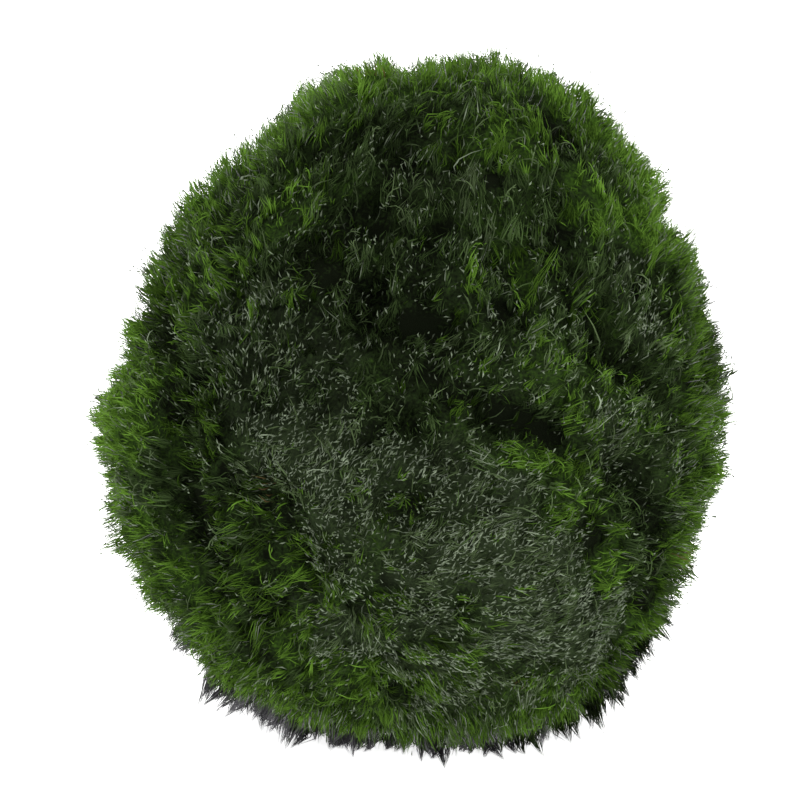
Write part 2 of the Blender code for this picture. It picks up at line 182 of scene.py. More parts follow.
# Gaps between the tufts, where only the bare felt shows, painted dark as shade
GAP_PLACES = [
    ([(-21.3, -9.3), (-20.5, -13)], 1.2, 1), ([(2.9, 17.6)], 1, 1), ([(-2.9, 18.2)], 0.9, 1),
    ([(7.4, 20.9)], 0.8, 1), ([(-5.3, 25)], 0.9, 1), ([(0.2, 8.6), (1.8, 9.2)], 1, 1),
    ([(9.3, 9.9)], 0.9, 1), ([(17.3, -13.2)], 1.2, 1), ([(-2.2, -16.8)], 0.8, 1),
    ([(1.9, -13.6)], 0.7, 1), ([(23, -15.6), (21.6, -18.2)], 0.9, 1), ([(-5.3, -19.2)], 0.8, 1),
    ([(9, -0.6), (12.5, -1.5), (15, -3.6)], 0.7, 1), ([(14.6, 16.6)], 0.8, 1), ([(18, 8.2)], 0.9, 1),
    ([(-18.2, -6.2)], 0.8, 1), ([(-12, -11.2)], 0.7, 1), ([(-14.2, -14.6)], 0.7, 1),
    ([(-17.8, -15.4)], 0.7, 1), ([(-7.5, 12.8)], 0.9, 1), ([(-22.5, 10.5)], 0.8, 1),
    ([(12.6, 26.8)], 1, 1), ([(-12.6, 8.6)], 0.7, 1),
]
# Little brownish flecks
BROWN_PLACES = [
    ([(-3.2, 30.2)], 0.9, 1), ([(-14.1, -7.6)], 0.9, 1), ([(24.3, -14.2)], 0.8, 1),
    ([(10.3, -24.6)], 0.6, 0.8),
]
# Spacing of the points that stand for such a path, in mm, and the share of the way out to the outline that
# no place goes beyond
PATH_SPACING = 1.2
OUTERMOST = 0.99
# Edge of a place, in shares of its reach: where it ends, over how much it fades, and how uneven it is
PLACE_END = 1.35
PLACE_FADE = 0.5
PLACE_UNEVENNESS = 0.3
# Share of the way out to the rim, as seen from the front, from which the moss is fresher and brighter, as
# painted backlight
RIM_START = 0.84
# How fast the back's patches take over from the front's places, behind the outline
BACK_FADE = 3.0
# Waves that make the edges of places uneven, and those of the back's patches: how many, and their length
EDGE_WAVES = (24, 6 * MM)
PATCH_WAVES = (12, 24 * MM)
# The back's matted patches: what the waves count for, what is taken off, and the most of it
BACK_MATTING = (0.8, 0.1, 0.9)
# How fresh the back is, and what the waves of the patches and of the edges add
BACK_FRESHNESS = (0.5, 0.35, 0.25)
# Share of freshness and of matting that deep places take, which keeps them dark as painted shade, the depth
# from which they do, and over which
DEEP_FRESH_LOSS = 0.4
DEEP_MATTED_LOSS = 0.8
FRESH_LOSS_START = 0.5
MATTED_LOSS_START = 0.3
DEEP_LOSS_FADE = 0.5
# Share of freshness that a matted patch takes
MATTED_FRESH_LOSS = 0.5

# Way in which the threads run over the front: places across and up in mm, degrees from the right
COMB_MARKS = [
    ((-12, 27), 80), ((-3, 27), 65), ((2, 27), 52), ((9, 27), 108), ((15, 27), 122), ((-15, 24), 50),
    ((-10, 23), 46), ((-5, 22), 54), ((0, 23), 78), ((4, 23), 68), ((8, 23), 98), ((12, 23), 126),
    ((17, 22), 124), ((21, 23), 116), ((-18, 19), 58), ((-13, 18.5), 52), ((-8, 18), 60), ((-3, 18), 84),
    ((2, 18), 92), ((7, 18), 111), ((12, 18.5), 128), ((16, 17.5), 116), ((21.5, 17), 124),
    ((-21, 13), 82), ((-15, 13), 70), ((-9, 12.5), 74), ((-4, 13.5), 60), ((2.5, 13), 66),
    ((7, 13.5), 76), ((12.5, 13), 104), ((18.5, 12.5), 110), ((23, 12), 118), ((27, 9), 106),
    ((-24, 8), 72), ((-17, 8.5), 70), ((-11, 8), 62), ((-5, 8.5), 66), ((1, 7.5), 50), ((6, 7), 48),
    ((11, 7), 62), ((15.5, 7.5), 102), ((19.5, 6), 116), ((24, 5), 104), ((-20, 3), 84), ((-15, 3), 42),
    ((-10, 2.5), 20), ((-5, 3), 2), ((0, 2), 140), ((5, 3), 45), ((10, 2), 66), ((15, 2), 110),
    ((19, 1.5), 128), ((25, 0), 84), ((-25, -2), 72), ((-20.5, -3.5), 78), ((-15, -2.5), 33),
    ((-10, -3), 33), ((-6, -4), 50), ((-1.5, -4), 48), ((3.5, -4.5), 28), ((7.5, -3.5), 42),
    ((12, -4.5), 28), ((17, -5), 48), ((24, -6), 108), ((27.5, -6), 80), ((-24.5, -10), 80),
    ((-15, -9.5), 142), ((-20.5, -12), 138), ((-8.5, -10), 36), ((-3.5, -9.5), 55), ((2, -9.5), 60),
    ((7, -9), 38), ((12, -9.5), 27), ((17, -9.5), 20), ((24.5, -12), 98), ((-12, -13), 140),
    ((-6, -14), 46), ((-1, -14), 62), ((4, -13.5), 44), ((9, -14.5), 17), ((14, -14.5), 10),
    ((19, -15), 22), ((-22.5, -17), 126), ((-17.5, -17.5), 108), ((-10.5, -18.5), 150), ((-3, -18), 34),
    ((1.5, -19), 70), ((7, -19.5), 38), ((12, -19), 30), ((17.5, -19.5), 24), ((-12, -25), 148),
    ((-6, -24), 172), ((1, -24.5), 8), ((7, -24), 26), ((12, -25), 155), ((-7, -28), 165), ((2, -28), 20),
    ((14, -27), 138), ((24, -17), 112), ((20, -23), 60),
]
COMB_REACH = 3.2 * MM
# Slow waves that turn the comb where no mark reaches: how many, their length and their weight
COMB_WAVES = 9
COMB_WAVE_LENGTH = 45.0 * MM
COMB_WAVE_WEIGHT = 0.15

# Streaks along the comb: their grid, the waves that make them, and how far each way they are drawn out
FINE_COLUMNS = 720
FINE_ROWS = 361
STREAK_WAVES = 60
STREAK_WIDTH = 1.5 * MM
STREAK_STEP = 0.4 * MM
STREAK_STEPS = 5

# Rise of a thread over the surface, in degrees: on the shaggy coat, at the rim and in a matted patch
RISES = (48.0, 78.0, 12.0)
RISE_SCATTER = 14.0
# Degrees by which threads stray aside from the comb, on those three
TURN_SCATTERS = (32.0, 16.0, 13.0)

# Grid on which radii are kept, the bells that smooth the solid into tuft cores, ground and surroundings, and
# how fast corners over the ground's level count for less, with the limits of that exponent
GRID_COLUMNS = 180
GRID_ROWS = 91
CORE_BELL = 0.75 * MM
GROUND_BELL = 1.1 * MM
AROUND_BELL = 4.5 * MM
LOW_SIDE = 0.5 * MM
LOW_LIMITS = (-8, 3)
# Angle, in radians, between the points from which the ground's slope is read
SLOPE_STEP = 0.02
# Depth under its surroundings at which a hollow of the solid is fully deep
HOLLOW_DEPTH = 1.1 * MM
# How deep the solid's own hollows and the gaps count for in the painted shade, where 1 is as deep as a deep
# place
HOLLOW_SHADE = 0.5
GAP_SHADE = 1.5
# Strength of a gap from which no thread is rooted or ends in it
BARE_LIMIT = 0.5
# The most that a field of chance counts for, or a tuft core in mm
FIELD_LIMIT = 2
# The dark felt: its columns and rows, how far it lies under the ground between the tufts, the share of a
# tuft core's height that it follows, and its fine crumbs
FELT_COLUMNS = 216
FELT_ROWS = 109
FELT_DROP = 0.5 * MM
CORE_SHARE = 0.45
CRUMB_WAVES = 60
CRUMB_LENGTH = 2.2 * MM
CRUMB_HEIGHT = 0.12 * MM
# How green the felt is, from 0 to 1: on the plain coat, and what freshness, depth and tuft cores add. Depth
# takes green away as painted shade, tuft cores add it as painted light, and the rim's freshness is painted
# backlight
FELT_GREEN = 0.30
FELT_GAINS = (0.25, -0.45, 0.15)

# Height of the coat over the felt: its least on the shaggy coat, at the rim and in a matted patch, and the
# share of a tuft core's height that it adds
COAT_LEAST = (0.85 * MM, 1.45 * MM, 0.58 * MM)
COAT_SHARE = 1.1
# Share of that height that deep places take
DEEP_HEIGHT_LOSS = 0.45
# Clumps in which the coat is higher and lower: waves that make them, their width, and the share of height
CLUMP_WAVES = 40
CLUMP_WIDTH = 2.8 * MM
CLUMP_SHARE = 0.30
# Locks stand where the solid has its tufts: least rise and spacing of a tuft tip, threads in each, and
# their spread
TIP_RISE = 0.55 * MM
TIP_SPACING = 1.5 * MM
LOCK_THREADS = 23
LOCK_SPREAD = 0.80 * MM
# Share of a thread's place in its lock that is lost at the tip, where the threads meet
GATHERING = 0.70
# Reach of a lock's thread, as a share of the way to the tip: of most, its scatter, what an outer root takes
# and what the rim adds. Then the scatter of its end
LOCK_REACH = (0.98, 0.12, 0.12, 0.18)
LOCK_END_SCATTER = 0.06
# How far behind its tip a lock or fan is rooted: on the shaggy coat, at the rim and in a matted patch
BACKSTEPS = (1.25 * MM, 0.35 * MM, 1.7 * MM)
BACKSTEP_SCATTER = (0.7, 1.3)
# Little fans fill the coat between the locks: how many, threads in each, spread at the root and the tips
FANS = 6800
FAN_THREADS = 8
FAN_SPREADS = (0.16 * MM, 0.36 * MM)
# Share of a fan thread's width that the rim takes
RIM_THINNING = 0.2
# How far threads bow up and aside, as shares of their length, and the scatter of the bend. The bend lies
# between root and tip, in these shares
BOW_UP = (0.11, 0.07, 0.05)
BOWS_ASIDE = (0.18, 0.06, 0.15)
BEND_SCATTER = 0.06
BEND_SHARES = (0.55, 0.45)
# Share of the coat's height by which the deepest thread ends lower, and what it loses in brightness as
# painted shade
DEEPEST = (0.75, 0.60, 0.75)
DEPTH_SHADE_LOSS = 0.28
# Short dark threads that make the coat dense, and short damp ones on the matted patches whose pale middles
# are painted glints
SHORT_THREADS = 21000
SHORT_LENGTHS = (0.7 * MM, 1.4 * MM)
SHORT_EXTRA_RISE = 20.0
SHORT_LOSS = 0.14
DAMP_THREADS = 17500
DAMP_LENGTHS = (0.25 * MM, 0.85 * MM)
DAMP_HEIGHTS = (0.3, 1.0)
# Degrees by which they stray from the comb, over what the other threads do
DAMP_TURN = 16.0
# Share of the damp threads that lie on the shaggy coat as well
DAMP_STRAY = 0.08
# How densely they lie: plain, what clumps and streaks add, and the least and the most
DAMP_DENSITY = (0.75, 0.35, 0.25)
DAMP_DENSITY_LIMITS = (0.1, 1.5)
# Brightness of their painted glints: least, spread, what a matted patch takes from the spread, and a power
# that keeps most of them dull. Then what streaks and clumps add and deep places take as painted shade
DAMP_GLINT_BRIGHTNESS = (0.22, 0.44, 0.14, 1.8)
DAMP_GLINT_GAINS = (0.10, 0.06, 0.2)
# Fine hairs that stand straight out of the coat at the rim and on the back, in small combs: how many combs,
# hairs in each, their spread, height of their roots over the felt, lengths and half widths, how far a comb
# and one hair lean, and their share on the front's shaggy coat, on the back and at the rim
COMBS = 3000
COMB_HAIRS = 6
HAIR_SPREAD = 0.32 * MM
HAIR_ROOT_HEIGHT = 0.3 * MM
HAIR_LENGTHS = (1.6 * MM, 2.8 * MM)
HAIR_SHORTENING = (0.8, 1.0)
HAIR_HALF_WIDTHS = (0.020 * MM, 0.036 * MM)
COMB_FORWARD_LEAN = 0.25
COMB_LEAN = 0.24
HAIR_LEAN = 0.07
FRONT_COMBS = 0.12
BACK_COMBS = 0.5
RIM_COMBS = 1.6
# Share of the hairs that is grey at the rim
GREY_HAIRS = 0.12
# Dark tufts around the foot and along the lower outline, each gathered to a point: how many there, threads
# in each, their lengths, the spread of the roots and the share of it that is lost at the tip, and how they
# lean and how far that scatters
# Their darkness is painted shade under the ball, where it meets the floor
FOOT_TUFTS = 160
OUTLINE_TUFTS = 210
TUFT_THREADS = 22
TUFT_LENGTHS = (3.3 * MM, 5.0 * MM)
TUFT_SHORTENING = (0.75, 1.0)
TUFT_SPREAD = 0.48 * MM
TUFT_GATHERING = 0.84
TUFT_LEAN = [-0.12, 0.0, -0.15]
TUFT_LEAN_SCATTER = 0.22
# Where they stand: heights over the floor with the ball's radius there, and angles of the outline and
# depths about it
FOOT_HEIGHTS = (0.8 * MM, 2.8 * MM)
FOOT_RADIUS = BALL_CENTRE[2] + 1.0 * MM
LOWER_OUTLINE = (222.0, 322.0)
LOWER_DEPTHS = (-0.06, 0.15)
# Their brightness, what the right side takes from it as painted shade, and the scatter of one thread
TUFT_BRIGHTNESS = (0.0, 0.36)
TUFT_RIGHT_SHADE = 0.30
TUFT_THREAD_SCATTER = 0.05
# Share of them that is green at the right, and how fast that is reached from the middle
GREEN_TUFTS = 0.9
GREEN_TUFTS_RISE = 2.5
# Degrees over which the threads turn grey with painted shade at both ends of that outline, and the depths
# where they start and the way on which they do, in front and behind
GREY_DEGREES = 10
GREY_FRONT = (0.13, -0.07)
GREY_BACK = (-0.35, 0.1)
# Long single threads that stray over the coat
LONG_THREADS = 1900
LONG_LENGTHS = (1.2 * MM, 2.7 * MM)
LONG_HALF_WIDTHS = (0.045 * MM, 0.080 * MM)
LONG_CURL = 0.6
LONG_GAIN = 0.14
# Heights of their roots, bows and tips, as shares of the coat's, the share of the length at which they bow,
# and how near the rim they lie
LONG_ROOT_HEIGHT = 0.3
LONG_BOW_HEIGHT = 1.4
LONG_TIP_HEIGHTS = (0.4, 1.0)
LONG_BOW_PLACE = 0.4
LONG_RIM_LIMIT = 0.7
# Share of them that is pale olive
PALE_SHARE = 0.5
# Short spurs that branch off each of them, their lengths, and how far they lean aside up to their bend and
# beyond it
SPURS = 2
SPUR_LENGTHS = (0.4 * MM, 0.9 * MM)
SPUR_LEANS = (0.9, 0.4)
# How many directions are drawn for each place that is kept, of damp threads, of combs and of long threads
DAMP_TRIES = 6
COMB_TRIES = 4
LONG_TRIES = 2
# Half widths of a thread, thinnest and thickest: in locks, in fans and short threads, and of damp ones
LOCK_HALF_WIDTHS = (0.035 * MM, 0.075 * MM)
FAN_HALF_WIDTHS = (0.040 * MM, 0.086 * MM)
DAMP_HALF_WIDTHS = (0.050 * MM, 0.090 * MM)
# Share of its width that a thread loses towards its tip
TAPER = 0.4
# Share of a thread's own roundness in its shading: the rest follows the ball, which keeps the coat soft
ROUNDNESS = 0.25
# How deep under the felt's surface the threads are rooted
ROOT_DEPTH = 0.2 * MM
# Height over the floor below which threads are pressed flat, and below which they are shaded and grey
PRESSED_HEIGHT = 0.6 * MM
SHADED_HEIGHT = 4.0 * MM
# How much the shaded threads run outwards, over the comb
FOOT_OUTWARDS = 3.0

# Kinds of thread, each with its own band of the bake map, and their root and tip colours. The dark roots are
# partly painted shade deep in the coat, the damp kind's pale colour is a painted glint, the matted kind's
# grey is partly a painted sheen, and the shaded kind's dark root is painted shade
DEEP, FRESH, MATTED, DAMP_GLINT, BROWN, SHADED = range(6)
KINDS = 6
ROOT_COLOURS = [(24, 32, 17), (38, 62, 12), (40, 50, 31), (50, 61, 40), (44, 34, 18), (15, 15, 16)]
TIP_COLOURS = [(65, 84, 46), (85, 116, 42), (78, 93, 61), (105, 115, 96), (108, 90, 58), (166, 164, 169)]
# Chance that a thread is fresh or damp with a painted glint: anywhere, and what a fresh or a matted place
# adds
FRESH_CHANCES = (0.02, 1.05)
DAMP_GLINT_CHANCES = (0.03, 0.10)
# Chance that it is matted, brown or shaded in a place that is fully so, and that it swaps its kind
MATTED_CHANCE = 0.9
BROWN_CHANCE = 0.6
SHADED_CHANCE = 1.6
SWAP_CHANCE = 0.03
# Brightness of a thread, from 0 to 1: on the plain coat, and what freshness, the rim, the place's height,
# matting, depth, streaks, the height of the tuft in mm, clumps and chance add, for a whole fan and for one
# thread. The rim's gain is painted backlight, the height's is painted light from above, the tuft's and the
# clumps' are painted light on the higher moss, the matting's is a painted sheen, and depth's loss is painted
# shade
PLAIN = 0.365
FRESH_GAIN = 0.29
RIM_LIGHT_GAIN = 0.11
TOP_LIGHT_GAIN = 0.07
MATTED_SHEEN_GAIN = 0.12
DEEP_SHADE_LOSS = 0.45
STREAK_GAIN = 0.12
TUFT_LIGHT_GAIN = 0.13
MEAN_TUFT = 0.5
CLUMP_LIGHT_GAIN = 0.13
FAN_SCATTER = 0.10
THREAD_SCATTER = 0.03
# What a fresh thread on a matted patch and a shaded thread lose
STRAY_FRESH_LOSS = 0.2
SHADED_LOSS = 0.30
# Share of a thread's own colour that the dullest and the brightest thread show
DULLEST = 0.11
BRIGHTEST = 1.50
# Width of one side of a thread on the map, the edge left free at both ends of a band, and where the dullest
# thread lies across the map and the way to the brightest
MAP_STEP = 0.004
MAP_EDGE = 0.06
MAP_START = 0.01
MAP_WIDTH = 0.97
# How fast a thread's tip colour comes in along it: at its root, and what the way along adds
TIP_COLOUR_RISE = (0.6, 0.4)
# The felt's colours by greenness, those of its matted patches, whose grey is partly a painted sheen, and
# what patches and crumbs of noise add
FELT_STOPS = [(0.05, (10, 13, 7)), (0.45, (24, 34, 15)), (0.95, (44, 66, 20))]
MATTED_SHEEN_FELT = [(15, 20, 12), (48, 58, 38)]
MATTED_SHEEN_FELT_SHARE = 0.8
FELT_NOISE_GAINS = (0.9, 1.1)
# Scales of that noise, for patches and for crumbs
PATCH_SCALE = 700.0
CRUMB_SCALE = 3200.0
# Soft lights: name, turn about the ball and rise over the horizon in degrees, distance, size and power
PANELS = [
    ("back_left_light", -135, 40, 0.55, 0.40, 1.9), ("back_right_light", 140, 45, 0.55, 0.40, 1.9),
    ("left_light", -92, 5, 0.55, 0.30, 2.1), ("front_light", 35, 20, 0.60, 0.40, 1.8),
]
WORLD_STRENGTH = 1.25
FLOOR_RADIUS = 3.0


# Finishes


class Value:
    """A shader socket that takes part in sums: each operation adds a Math node."""

    def __init__(self, finish, socket):
        self.finish = finish
        self.socket = socket

    def maths(self, operation, first, second):
        """A Math node's result."""
        return self.finish.node("ShaderNodeMath", {"operation": operation}, {0: first, 1: second})

    def __add__(self, other):
        return self.maths("ADD", self, other)

    def __sub__(self, other):
        return self.maths("SUBTRACT", self, other)

    def __rsub__(self, other):
        return self.maths("SUBTRACT", other, self)

    def __mul__(self, other):
        return self.maths("MULTIPLY", self, other)

    def __truediv__(self, other):
        return self.maths("DIVIDE", self, other)

    def __gt__(self, limit):
        return self.maths("GREATER_THAN", self, limit)

    def floor(self):
        """The whole number below."""
        return self.maths("FLOOR", self, 0.0)

    __radd__ = __add__
    __rmul__ = __mul__


class Finish:
    """One material: the nodes that feed its Principled shader."""

    def __init__(self, name, **constants):
        self.material = bpy.data.materials.new(name)
        self.material.use_nodes = True
        self.tree = self.material.node_tree
        self.shader = self.tree.nodes["Principled BSDF"]
        for socket, value in constants.items():
            self.shader.inputs[socket.replace("_", " ")].default_value = value

    def node(self, kind, settings=None, sockets=None, output=0):
        """Adds a node, sets its settings and ramp stops, then fills its sockets with values or links."""
        made = self.tree.nodes.new(kind)
        for setting, value in (settings or {}).items():
            if setting == "stops":
                self.fill_ramp(made.color_ramp, value)
            else:
                setattr(made, setting, value)
        for socket, value in (sockets or {}).items():
            self.feed(made.inputs[socket], value)
        return Value(self, made.outputs[output])

    def fill_ramp(self, ramp, stops):
        """Gives a ramp its stops, each with its place and its colour."""
        while len(ramp.elements) < len(stops):
            ramp.elements.new(1.0)
        for element, (place, tint) in zip(ramp.elements, stops):
            element.position = place
            element.color = tint

    def feed(self, socket, value):
        """Links a socket to a value, or sets it to a number or colour."""
        if isinstance(value, Value):
            self.tree.links.new(value.socket, socket)
        else:
            socket.default_value = value

    def mix(self, share, first, second):
        """A colour between two others."""
        sockets = {0: share, 6: first, 7: second}
        return self.node("ShaderNodeMix", {"data_type": "RGBA"}, sockets, output=2)

    def scale(self, tint, share):
        """A colour made darker or brighter."""
        sockets = {0: tint, "Scale": share}
        return self.node("ShaderNodeVectorMath", {"operation": "SCALE"}, sockets)

    def noise(self, place, scale, detail):
        """Cloudy noise between 0 and 1."""
        return self.node("ShaderNodeTexNoise", {}, {"Vector": place, "Scale": scale, "Detail": detail})

    def layer(self, name):
        """One of the mesh's own layers of numbers."""
        return self.node("ShaderNodeAttribute", {"attribute_name": name}, output=2)


def colour(codes):
    """A screen colour, 0 to 255, as the linear colour that shaders use."""
    parts = np.array(codes) / 255
    linear = np.where(parts <= 0.04045, parts / 12.92, ((parts + 0.055) / 1.055) ** 2.4)
    return (*linear.tolist(), 1.0)


def threads_finish():
    """Damp threads, read from the map: across it how bright a thread is, up it the kind and the way along.

    Most threads go from a dark root to a light tip; the dark root is partly painted shade deep in the coat.
    A damp one is light at its middle: a painted glint.
    """
    finish = Finish("damp_glint_threads", Roughness=0.45, Specular_IOR_Level=0.002)
    place = finish.node("ShaderNodeUVMap", {"uv_map": BAKE_MAP})
    brightness = finish.node("ShaderNodeSeparateXYZ", {}, {0: place}, output=0)
    height = finish.node("ShaderNodeSeparateXYZ", {}, {0: place}, output=1)
    kind = (height * KINDS).floor()
    along = height * KINDS - kind
    is_damp_glint = (kind > DAMP_GLINT - 0.5) * (1 - (kind > DAMP_GLINT + 0.5))
    glint = along * (1 - along) * 4
    at_root, further = TIP_COLOUR_RISE
    light_tip = along * (along * further + at_root)
    share = light_tip + (glint - light_tip) * is_damp_glint
    bands = []
    for codes in (ROOT_COLOURS, TIP_COLOURS):
        stops = [(number / KINDS, colour(code)) for number, code in enumerate(codes)]
        bands.append(finish.node("ShaderNodeValToRGB", {"stops": stops}, {0: (kind + 0.5) / KINDS}))
        bands[-1].socket.node.color_ramp.interpolation = "CONSTANT"
    tint = finish.mix(share, *bands)
    shade = finish.scale(tint, brightness * (BRIGHTEST - DULLEST) + DULLEST)
    finish.feed(finish.shader.inputs["Base Color"], shade)
    return finish.material


def felt_finish():
    """Dark tangled felt, patchy and rough; its darkness is partly painted shade deep in the coat."""
    finish = Finish("dark_felt", Roughness=0.8, Specular_IOR_Level=0.0)
    place = finish.node("ShaderNodeTexCoord", output=3)
    patches = finish.noise(place, PATCH_SCALE, detail=5.0)
    crumbs = finish.noise(place, CRUMB_SCALE, detail=2.0)
    green = finish.layer(GREEN_LAYER)
    matted = finish.layer(MATTED_LAYER)
    stops = [(at, colour(codes)) for at, codes in FELT_STOPS]
    patch_gain, crumb_gain = FELT_NOISE_GAINS
    share = green + (patches - 0.5) * patch_gain + (crumbs - 0.5) * crumb_gain
    tint = finish.node("ShaderNodeValToRGB", {"stops": stops}, {0: share})
    tint = finish.mix(matted * MATTED_SHEEN_FELT_SHARE, tint, finish.mix(crumbs, *map(colour, MATTED_SHEEN_FELT)))
    finish.feed(finish.shader.inputs["Base Color"], tint)
    bump = finish.node("ShaderNodeBump", {}, {"Height": crumbs, "Strength": 0.7, "Distance": 0.2 * MM})
    finish.feed(finish.shader.inputs["Normal"], bump)
    return finish.material


def floor_finish():
    """Pale matt studio floor with the faintest mottling, which also glows: a painted light that lights the
    ball from below and pales its shadow.
    """
    glow = colour((255, 255, 255))
    finish = Finish("pale_floor", Roughness=0.6, Emission_Color=glow, Emission_Strength=0.8)
    mottling = finish.noise(finish.node("ShaderNodeTexCoord", output=3), scale=3.0, detail=2.0)
    tint = finish.mix(mottling, colour((243, 244, 243)), colour((248, 248, 247)))
    finish.feed(finish.shader.inputs["Base Color"], tint)
    return finish.material


# The solid's surface


def unit(vectors):
    """Vectors made one long."""
    return vectors / np.linalg.norm(vectors, axis=-1, keepdims=True)


def fade_in(values, start, length):
    """0 up to the start and 1 from a length further on. A negative length turns this round."""
    return np.clip((values - start) / length, 0, 1)


def limited(values):
    """Values with those beyond the limit of the fields of chance cut off."""
    return np.clip(values, -FIELD_LIMIT, FIELD_LIMIT)


def solid_points():
    """The solid's corners as directions from the ball's middle and radii."""
    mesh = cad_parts[BALL].data
    points = np.empty(3 * len(mesh.vertices))
    mesh.vertices.foreach_get("co", points)
    points = np.unique(points.reshape(-1, 3).round(6), axis=0) - BALL_CENTRE
    return unit(points), np.linalg.norm(points, axis=1)


def bell_mean(directions, corners, radii, reach, low=None):
    """Mean of the corners' radii around each direction, weighted by a bell of their distance.

    With a low level for each direction, corners count less the higher they stand over it.
    """
    means = np.empty(len(directions))
    for rows in np.array_split(np.arange(len(directions)), 16):
        closeness = directions[rows] @ corners.T - 1
        weights = np.exp(closeness * (MEAN_RADIUS / reach) ** 2)
        if low is not None:
            weights *= np.exp(np.clip((low[rows, None] - radii) / LOW_SIDE, *LOW_LIMITS))
        means[rows] = (weights * radii).sum(axis=1) / weights.sum(axis=1)
    return means


def grid_directions(columns, rows):
    """Directions of a grid of longitudes and latitudes, from straight down to straight up."""
    turn = np.linspace(0, 2 * math.pi, columns, endpoint=False)
    rise = np.linspace(-math.pi / 2, math.pi / 2, rows)
    rise, turn = np.meshgrid(rise, turn, indexing="ij")
    level = np.cos(rise)
    return np.stack([level * np.cos(turn), level * np.sin(turn), np.sin(rise)], axis=-1)


def read_grid(grid, directions):
    """The grid's values at each direction, in proportion between its four nearest places."""
    rows, columns = grid.shape[:2]
    turn = np.arctan2(directions[..., 1], directions[..., 0]) / (2 * math.pi) % 1 * columns
    rise = (np.arcsin(np.clip(directions[..., 2], -1, 1)) / math.pi + 0.5) * (rows - 1)
    left = np.floor(turn).astype(int)
    below = np.minimum(np.floor(rise).astype(int), rows - 2)
    tail = (1,) * (grid.ndim - 2)
    right_share = (turn - left).reshape(turn.shape + tail)
    upper_share = (rise - below).reshape(rise.shape + tail)
    left, right = left % columns, (left + 1) % columns
    lower = grid[below, left] * (1 - right_share) + grid[below, right] * right_share
    upper = grid[below + 1, left] * (1 - right_share) + grid[below + 1, right] * right_share
    return lower * (1 - upper_share) + upper * upper_share


def outline_angle(directions):
    """Angle of each direction around the outline that the camera sees, in degrees from the right."""
    return np.degrees(np.arctan2(directions @ UP, directions @ ACROSS))


def outline_change(directions, changes, bell):
    """How much further out the coat reaches: bells around angles of the outline that the camera sees.

    A bell is change * exp(-(angle gap / bell)^2), and all of them fade in front of and behind the outline.
    """
    turn = outline_angle(directions)
    total = np.zeros(directions.shape[:-1])
    for degrees, change in changes:
        gap = (turn - degrees + 180) % 360 - 180
        total += change * MM * np.exp(-((gap / bell) ** 2))
    return total * np.exp(-((directions @ TOWARDS / OUTLINE_DEPTH) ** 2))


def notches(directions):
    """Single tufts and notches of the outline, at each direction."""
    return outline_change(directions, OUTLINE_TUFTS_AND_NOTCHES, NOTCH_BELL)


corner_directions, corner_radii = solid_points()
corner_radii = corner_radii + outline_change(corner_directions, OUTLINE_CHANGES, OUTLINE_BELL)
grid_shape = (GRID_ROWS, GRID_COLUMNS)
grid_places = grid_directions(GRID_COLUMNS, GRID_ROWS).reshape(-1, 3)
mean_radii = bell_mean(grid_places, corner_directions, corner_radii, GROUND_BELL)
ground_radii = bell_mean(grid_places, corner_directions, corner_radii, GROUND_BELL, mean_radii)
around_radii = bell_mean(grid_places, corner_directions, corner_radii, AROUND_BELL)
core_radii = bell_mean(grid_places, corner_directions, corner_radii, CORE_BELL)
ground_grid = ground_radii.reshape(grid_shape)
felt_grid = (ground_radii + (core_radii - ground_radii) * CORE_SHARE - FELT_DROP).reshape(grid_shape)
tuft_grid = (core_radii - ground_radii).reshape(grid_shape)
hollow_grid = fade_in(around_radii - mean_radii, 0, HOLLOW_DEPTH).reshape(grid_shape)


def at_height(grid, directions, height=0.0):
    """Points at a height over the felt or over the ground between the tufts."""
    radii = read_grid(grid, directions) + notches(directions) + height
    return BALL_CENTRE + directions * radii[..., None]


def tangents(directions):
    """Two unit directions along the ball at each direction, square to each other."""
    helper = np.where(np.abs(directions[..., 2:]) < 0.9, [[0.0, 0.0, 1.0]], [[1.0, 0.0, 0.0]])
    first = unit(np.cross(helper, directions))
    return first, np.cross(directions, first)


def ground_normals(directions):
    """Outward normals of the ground, from the slope between nearby points of it."""
    first, second = tangents(directions)
    ahead, behind, over, under = (
        at_height(ground_grid, unit(directions + way * SLOPE_STEP))
        for way in (first, -first, second, -second)
    )
    return unit(np.cross(ahead - behind, over - under))


# How the moss is laid


def waves(directions, count, length, size=1):
    """A smooth field of chance about as high as 1, made of crossing waves."""
    ways = unit(chance.normal(size=(count, 3)))
    starts = chance.uniform(0, 2 * math.pi, count)
    heights = chance.normal(size=(count, size)) * math.sqrt(2 / count)
    return np.sin(directions @ ways.T * (2 * math.pi * MEAN_RADIUS / length) + starts) @ heights


def seen_at(place):
    """Unit direction of the front's point that the camera sees at a place across and up, in mm.

    What is nearer to the camera looks larger, so it lies less far aside than it seems.
    """
    across = place[0] * MM + PLACES_ACROSS + AIM_ACROSS
    up = place[1] * MM + PLACES_UP + AIM_UP
    aside = across * ACROSS + up * UP
    share = min(math.hypot(across, up) / float(read_grid(ground_grid, unit(aside))), OUTERMOST)
    depth = FRONT_DEPTH * math.sqrt(1 - share**2)
    return unit(aside * (1 - depth / CAMERA_DISTANCE) + depth * TOWARDS)


def gap_to(directions, place):
    """Length along the ball from each direction to a place of the front."""
    return np.linalg.norm(directions - seen_at(place), axis=-1) * MEAN_RADIUS


def path_points(path):
    """Places at even spacing along a path of places."""
    path = np.array(path)
    lengths = np.r_[0, np.cumsum(np.hypot(*np.diff(path, axis=0).T))]
    stations = np.linspace(0, lengths[-1], max(1, math.ceil(lengths[-1] / PATH_SPACING)) + 1)
    return [(np.interp(at, lengths, path[:, 0]), np.interp(at, lengths, path[:, 1])) for at in stations]


